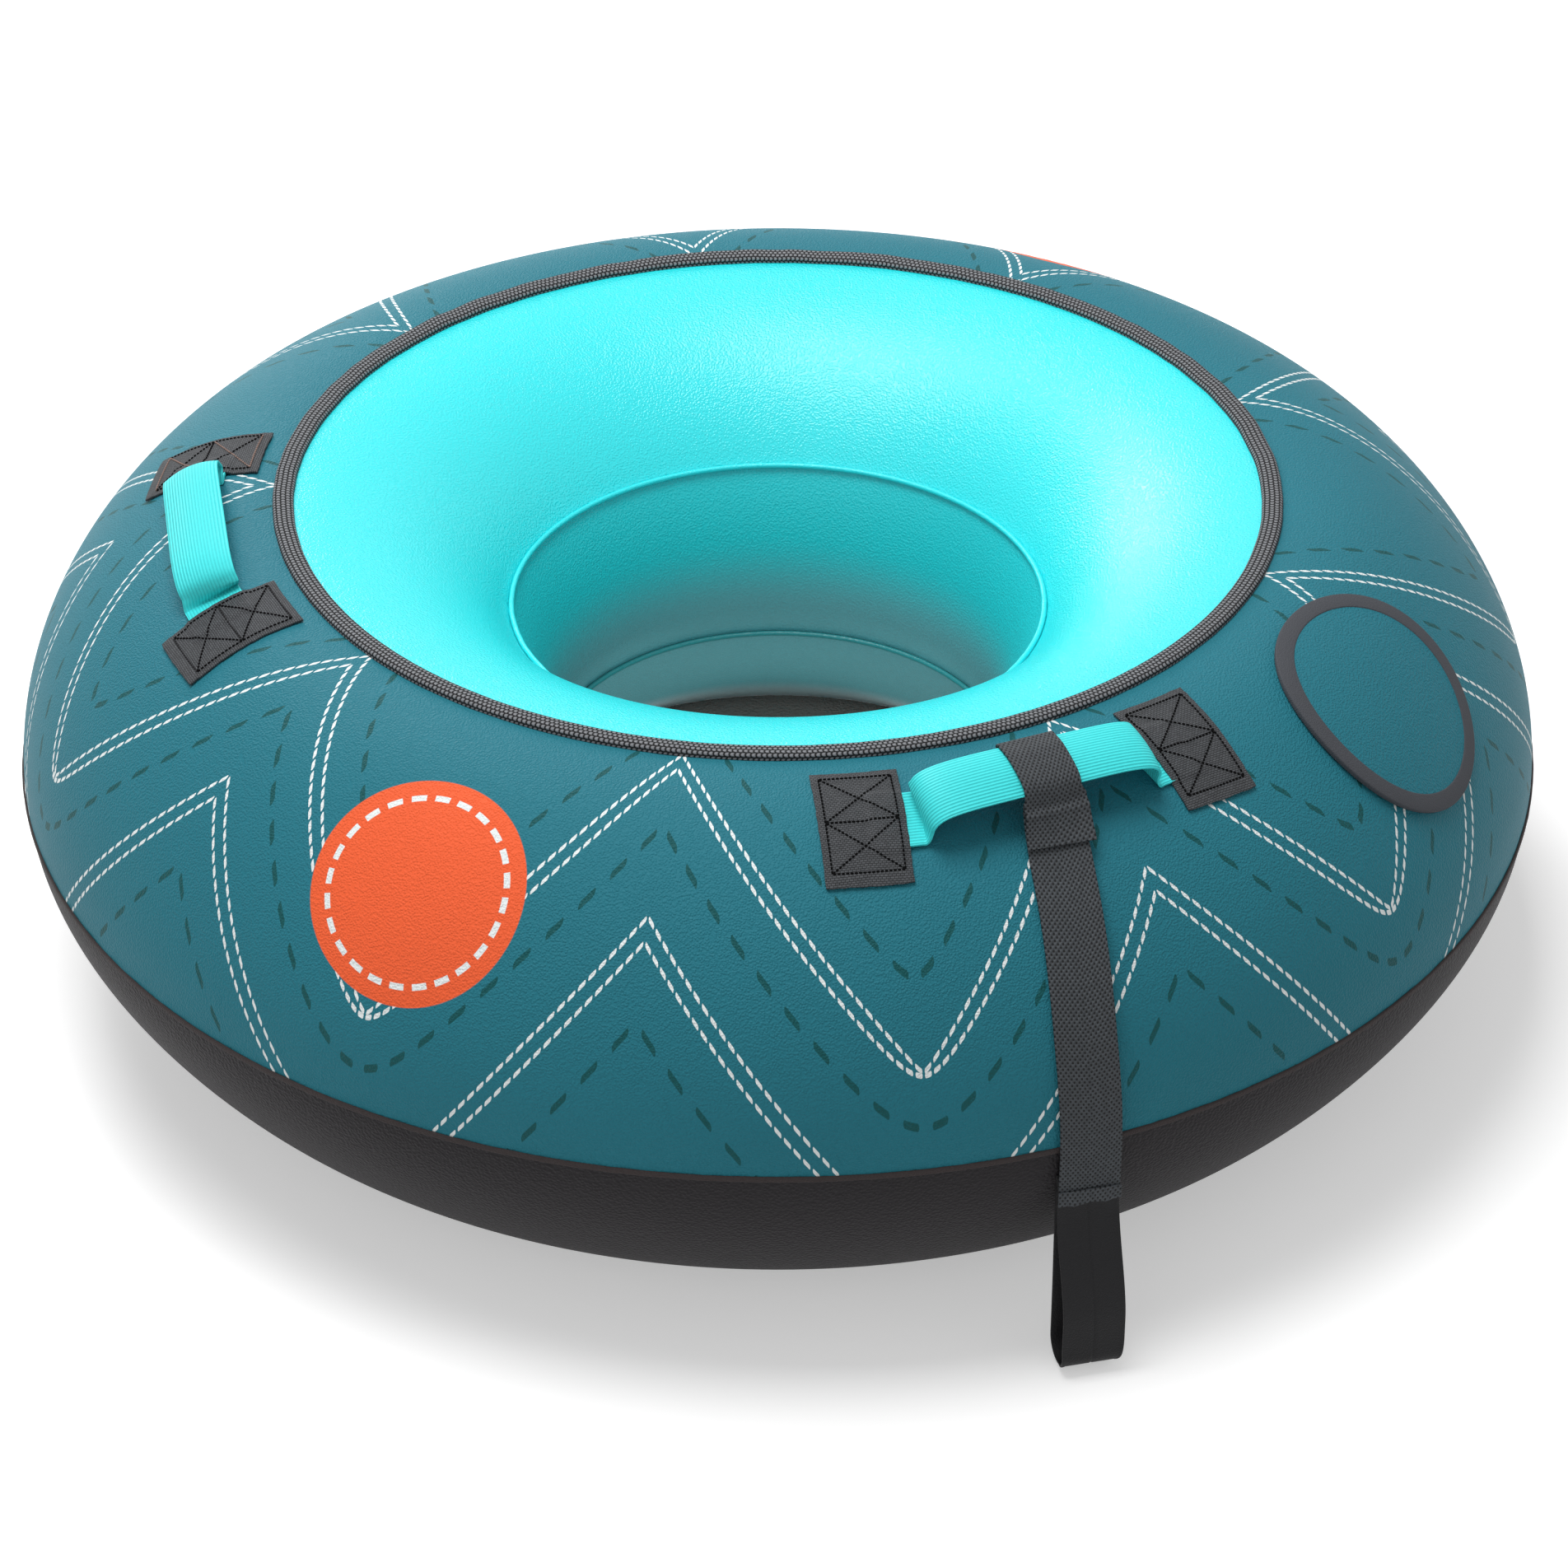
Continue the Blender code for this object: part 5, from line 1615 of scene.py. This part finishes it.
def make_hand_loop(stations):
    """Smooth folded tape with a lengthwise crease, both ends behind the strap's end."""
    end_point, across = stations[-1]
    out = Vector((0, 0, 1)).cross(across)
    if out.dot(end_point) < 0:
        out.negate()
    half_start = (LOOP_THICKNESS + SEAM_GAP) / 2
    centre_start = -(STRAP_THICKNESS / 2 + SEAM_GAP) - LOOP_THICKNESS - SEAM_GAP / 2
    bend_height = LOOP_GROUND_CLEARANCE + LOOP_THICKNESS / 2 + LOOP_HALF_GAP
    free_top = end_point.z - SEAM_GAP
    side = [(centre_start, half_start, end_point.z + LOOP_OVERLAP)]
    for i in range(LOOP_STEPS + 1):
        share = i / LOOP_STEPS
        opened = eased(LOOP_OPENING_SHARE * share)
        half = half_start + (LOOP_HALF_GAP - half_start) * opened
        height = free_top + (bend_height - free_top) * share
        side.append((centre_start + LOOP_LEAN * opened, half, height))
    profile = [(centre - half, height) for centre, half, height in side]
    low_centre = side[-1][0]
    for i in range(1, LOOP_STEPS):
        angle = pi * (1 + i / LOOP_STEPS)
        profile.append((low_centre + LOOP_HALF_GAP * cos(angle),
                        bend_height + LOOP_HALF_GAP * sin(angle)))
    profile += [(centre + half, height) for centre, half, height in reversed(side)]
    base = Vector((end_point.x, end_point.y, 0))
    route = Route([(base + out * offset + Vector((0, 0, height)), across)
                   for offset, height in profile])
    loop = flat_band("hand_loop_tape", WEBBING_WIDTH, route.length, 30, 150)

    def lift(_, x):
        crease = LOOP_CREASE * max(0, 1 - abs(x) / 0.0013)
        edge = LOOP_EDGE_DROP * eased((abs(x) - WEBBING_WIDTH / 2 + 0.0022) / 0.0006)
        return crease - edge

    def widen(share, x):
        at_bend = max(0, 1 - abs(share - 0.5) / 0.09)
        return 1.02 - LOOP_BEND_TUCK[0 if x < 0 else 1] * at_bend * at_bend

    bend_band(loop, route, lift=lift, widen=widen)
    thicken(loop, LOOP_THICKNESS * 0.8, BAND_EDGE)
    ridden(loop, "tow_strap", "loop_tape", LOOP_TAPE, "hand_loop")


def make_strap_hem(route):
    """Turned and sewn lower end of the strap, with an uneven edge over the loop."""
    hem = flat_band("tow_strap_hem", WEBBING_WIDTH * 1.02, STRAP_HEM, 20, 10)
    start = route.length - 0.9 * STRAP_HEM

    def ragged(co):
        share = co.y / STRAP_HEM + 0.5
        lobes = abs(sin(FULL_TURN * (co.x / WEBBING_WIDTH + 0.5)))
        frayed = noise.noise(Vector((co.x * 420, 0.4, 0.2))) * 0.0008
        frayed -= co.x * 0.03 + 0.0015 * lobes
        middle, across, out = outward_read(route, start + STRAP_HEM * share)
        rise = 0.0013 + 0.0003 * sin(share * pi)
        return middle + across * co.x + out * rise + Vector((0, 0, frayed * max(0, share)))

    move_points(hem, ragged)
    thicken(hem, STRAP_THICKNESS * 0.7, 0.0004)
    ridden(hem, "tow_strap", "strap_webbing", STRAP_WEAVE)
    return hem


def make_tow_strap():
    """The strap, its collar and tail, the hand loop and the hem that covers the loop's ends."""
    stations = strap_stations()
    route = Route(stations)
    strap = make_strap(route)
    make_collar(route)
    make_hand_loop(stations)
    hem = make_strap_hem(route)
    path = [tuple(point) for point in route.rows[:, :3]]


# Port, flap and valve

def round_on_skin(name, outline, steps=128):
    """A round outline turned flat about Z, then laid on the skin at the port."""
    piece = turned(name, outline, steps)
    lay = laid_on_skin(PORT_TURN, PORT_SECTION_ANGLE)
    move_points(piece, lambda co: lay(co.x, co.y, co.z))
    face_outwards(piece)
    return piece


def rounded_ring(inner, outer, low, high, corner):
    """Closed outline of a ring with softened corners."""
    points = []
    right, left, top, bottom = outer - corner, inner + corner, high - corner, low + corner
    for x, z, start in ((right, top, 0.5), (right, bottom, 0.0), (left, bottom, -0.5),
                        (left, top, -1.0)):
        for i in range(4):
            angle = pi * (start - i / 6)
            points.append((x + corner * cos(angle), z + corner * sin(angle)))
    points.append(points[0])
    return points


def make_flap():
    """Round flap with a bound edge, and the hook and loop tapes that hold it shut."""
    bound = FLAP_RADIUS - FLAP_BINDING_WIDTH
    tape_outer = bound - SEAM_GAP - TAPE_MARGIN
    hook_low = TAPE_LIFT + TAPE_THICKNESS + SEAM_GAP
    for name, low, body, node in (("port_loop_tape", TAPE_LIFT, "root", "port_tape"),
                                  ("flap_hook_tape", hook_low, "valve_flap", "flap_tape")):
        tape = round_on_skin(name, rounded_ring(tape_outer - TAPE_WIDTH, tape_outer, low,
                                                low + TAPE_THICKNESS, TAPE_CORNER))
        shade(tape)
        ridden(tape, body, "hook_tape", HOOK_TAPE, node)
    top = FLAP_PANEL_LIFT + FLAP_PANEL_THICKNESS
    radii = [(bound + 0.0010) * i / FLAP_RINGS for i in range(FLAP_RINGS + 1)]
    outline = [(r, top) for r in radii] + [(r, FLAP_PANEL_LIFT) for r in reversed(radii)]
    panel = round_on_skin("flap_cloth_panel", outline)
    shade(panel)
    ridden(panel, "valve_flap", "cover_print", FLAP_CLOTH, "flap_panel")
    binding = round_on_skin("flap_edge_binding", rounded_ring(
        bound, FLAP_RADIUS, FLAP_BINDING_LIFT, FLAP_BINDING_LIFT + FLAP_BINDING_THICKNESS,
        FLAP_BINDING_CORNER), ROUND_STEPS)
    shade(binding, radians(70))
    ridden(binding, "valve_flap", "edge_binding", FLAP_BINDING, "flap_binding")


def turned_at_port(name, profile, body, slot, material, node, cutter=None):
    """A turned piece whose axis stands on the skin at the port, cut before it is placed."""
    piece = turned(name, profile, VALVE_STEPS)
    if cutter:
        cut_away(piece, cutter())
    move_points(piece, lambda co: PORT_FRAME @ co)
    shade(piece)
    ridden(piece, body, slot, material, node)


def make_valve():
    """Valve base with its insert, membrane and slotted cap."""
    flange_low = SEAM_GAP - COVER_WALL
    flange_top = flange_low + FLANGE_THICKNESS
    barrel_low = flange_low - VALVE_DEPTH
    base = [(VALVE_FLANGE_RADIUS, flange_low), (VALVE_FLANGE_RADIUS - 0.0002, flange_top - 0.0003),
            (VALVE_FLANGE_RADIUS - 0.0012, flange_top), (VALVE_BORE_RADIUS, flange_top),
            (VALVE_BORE_RADIUS, barrel_low), (VALVE_BARREL_RADIUS, barrel_low),
            (VALVE_BARREL_RADIUS, flange_low), (VALVE_FLANGE_RADIUS, flange_low)]
    outer = VALVE_BORE_RADIUS - SEAM_GAP
    inner = outer - INSERT_WALL
    insert_low = flange_top - INSERT_LENGTH
    insert = [(inner, flange_top), (inner, insert_low), (outer, insert_low), (outer, flange_top),
              (inner, flange_top)]
    membrane_top = insert_low - SEAM_GAP
    membrane_low = membrane_top - MEMBRANE_THICKNESS
    membrane = [(0, membrane_top), (outer, membrane_top), (outer, membrane_low), (0, membrane_low)]
    cap_low = flange_top + SEAM_GAP
    cap_top = cap_low + CAP_THICKNESS
    plug = inner - SEAM_GAP
    plug_low = cap_low - PLUG_LENGTH
    cap = [(0, cap_top), (CAP_RADIUS - 0.0016, cap_top), (CAP_RADIUS - 0.0004, cap_top - 0.0004),
           (CAP_RADIUS, cap_top - 0.0010), (CAP_RADIUS, cap_low), (plug, cap_low),
           (plug, plug_low), (0, plug_low)]

    def slot_cutter():
        return fresh(bpy.ops.mesh.primitive_cube_add, "slot_cutter", size=1,
                     location=(0, 0, cap_top), scale=(1.5 * CAP_RADIUS, 0.0022, 0.0014))

    for name, profile, slot, material, node in (
            ("valve_base_moulding", base, "valve_plastic", VALVE_PLASTIC, "valve_base"),
            ("valve_insert_moulding", insert, "valve_plastic", VALVE_PLASTIC, "valve_insert"),
            ("valve_membrane_disc", membrane, "valve_rubber", VALVE_RUBBER, "valve_membrane")):
        turned_at_port(name, profile, "root", slot, material, node)
    turned_at_port("valve_cap_moulding", cap, "valve_cap", "valve_plastic", VALVE_PLASTIC,
                   "valve_cap", slot_cutter)


make_camera()
make_tow_strap()
make_cover()
make_well_floor()
make_rim_binding()
make_piping("upper_piping_cord", UPPER_PIPING_ANGLE, "cyan_piping", CYAN_PIPING, "upper_piping")
make_piping("lower_piping_cord", LOWER_PIPING_ANGLE, "well_piping", WELL_PIPING, "lower_piping")
make_side_hem()
make_bladder()
make_handles()
make_flap()
make_valve()
make_studio()
make_floor()

scene = bpy.context.scene
scene.view_settings.view_transform = "Standard"
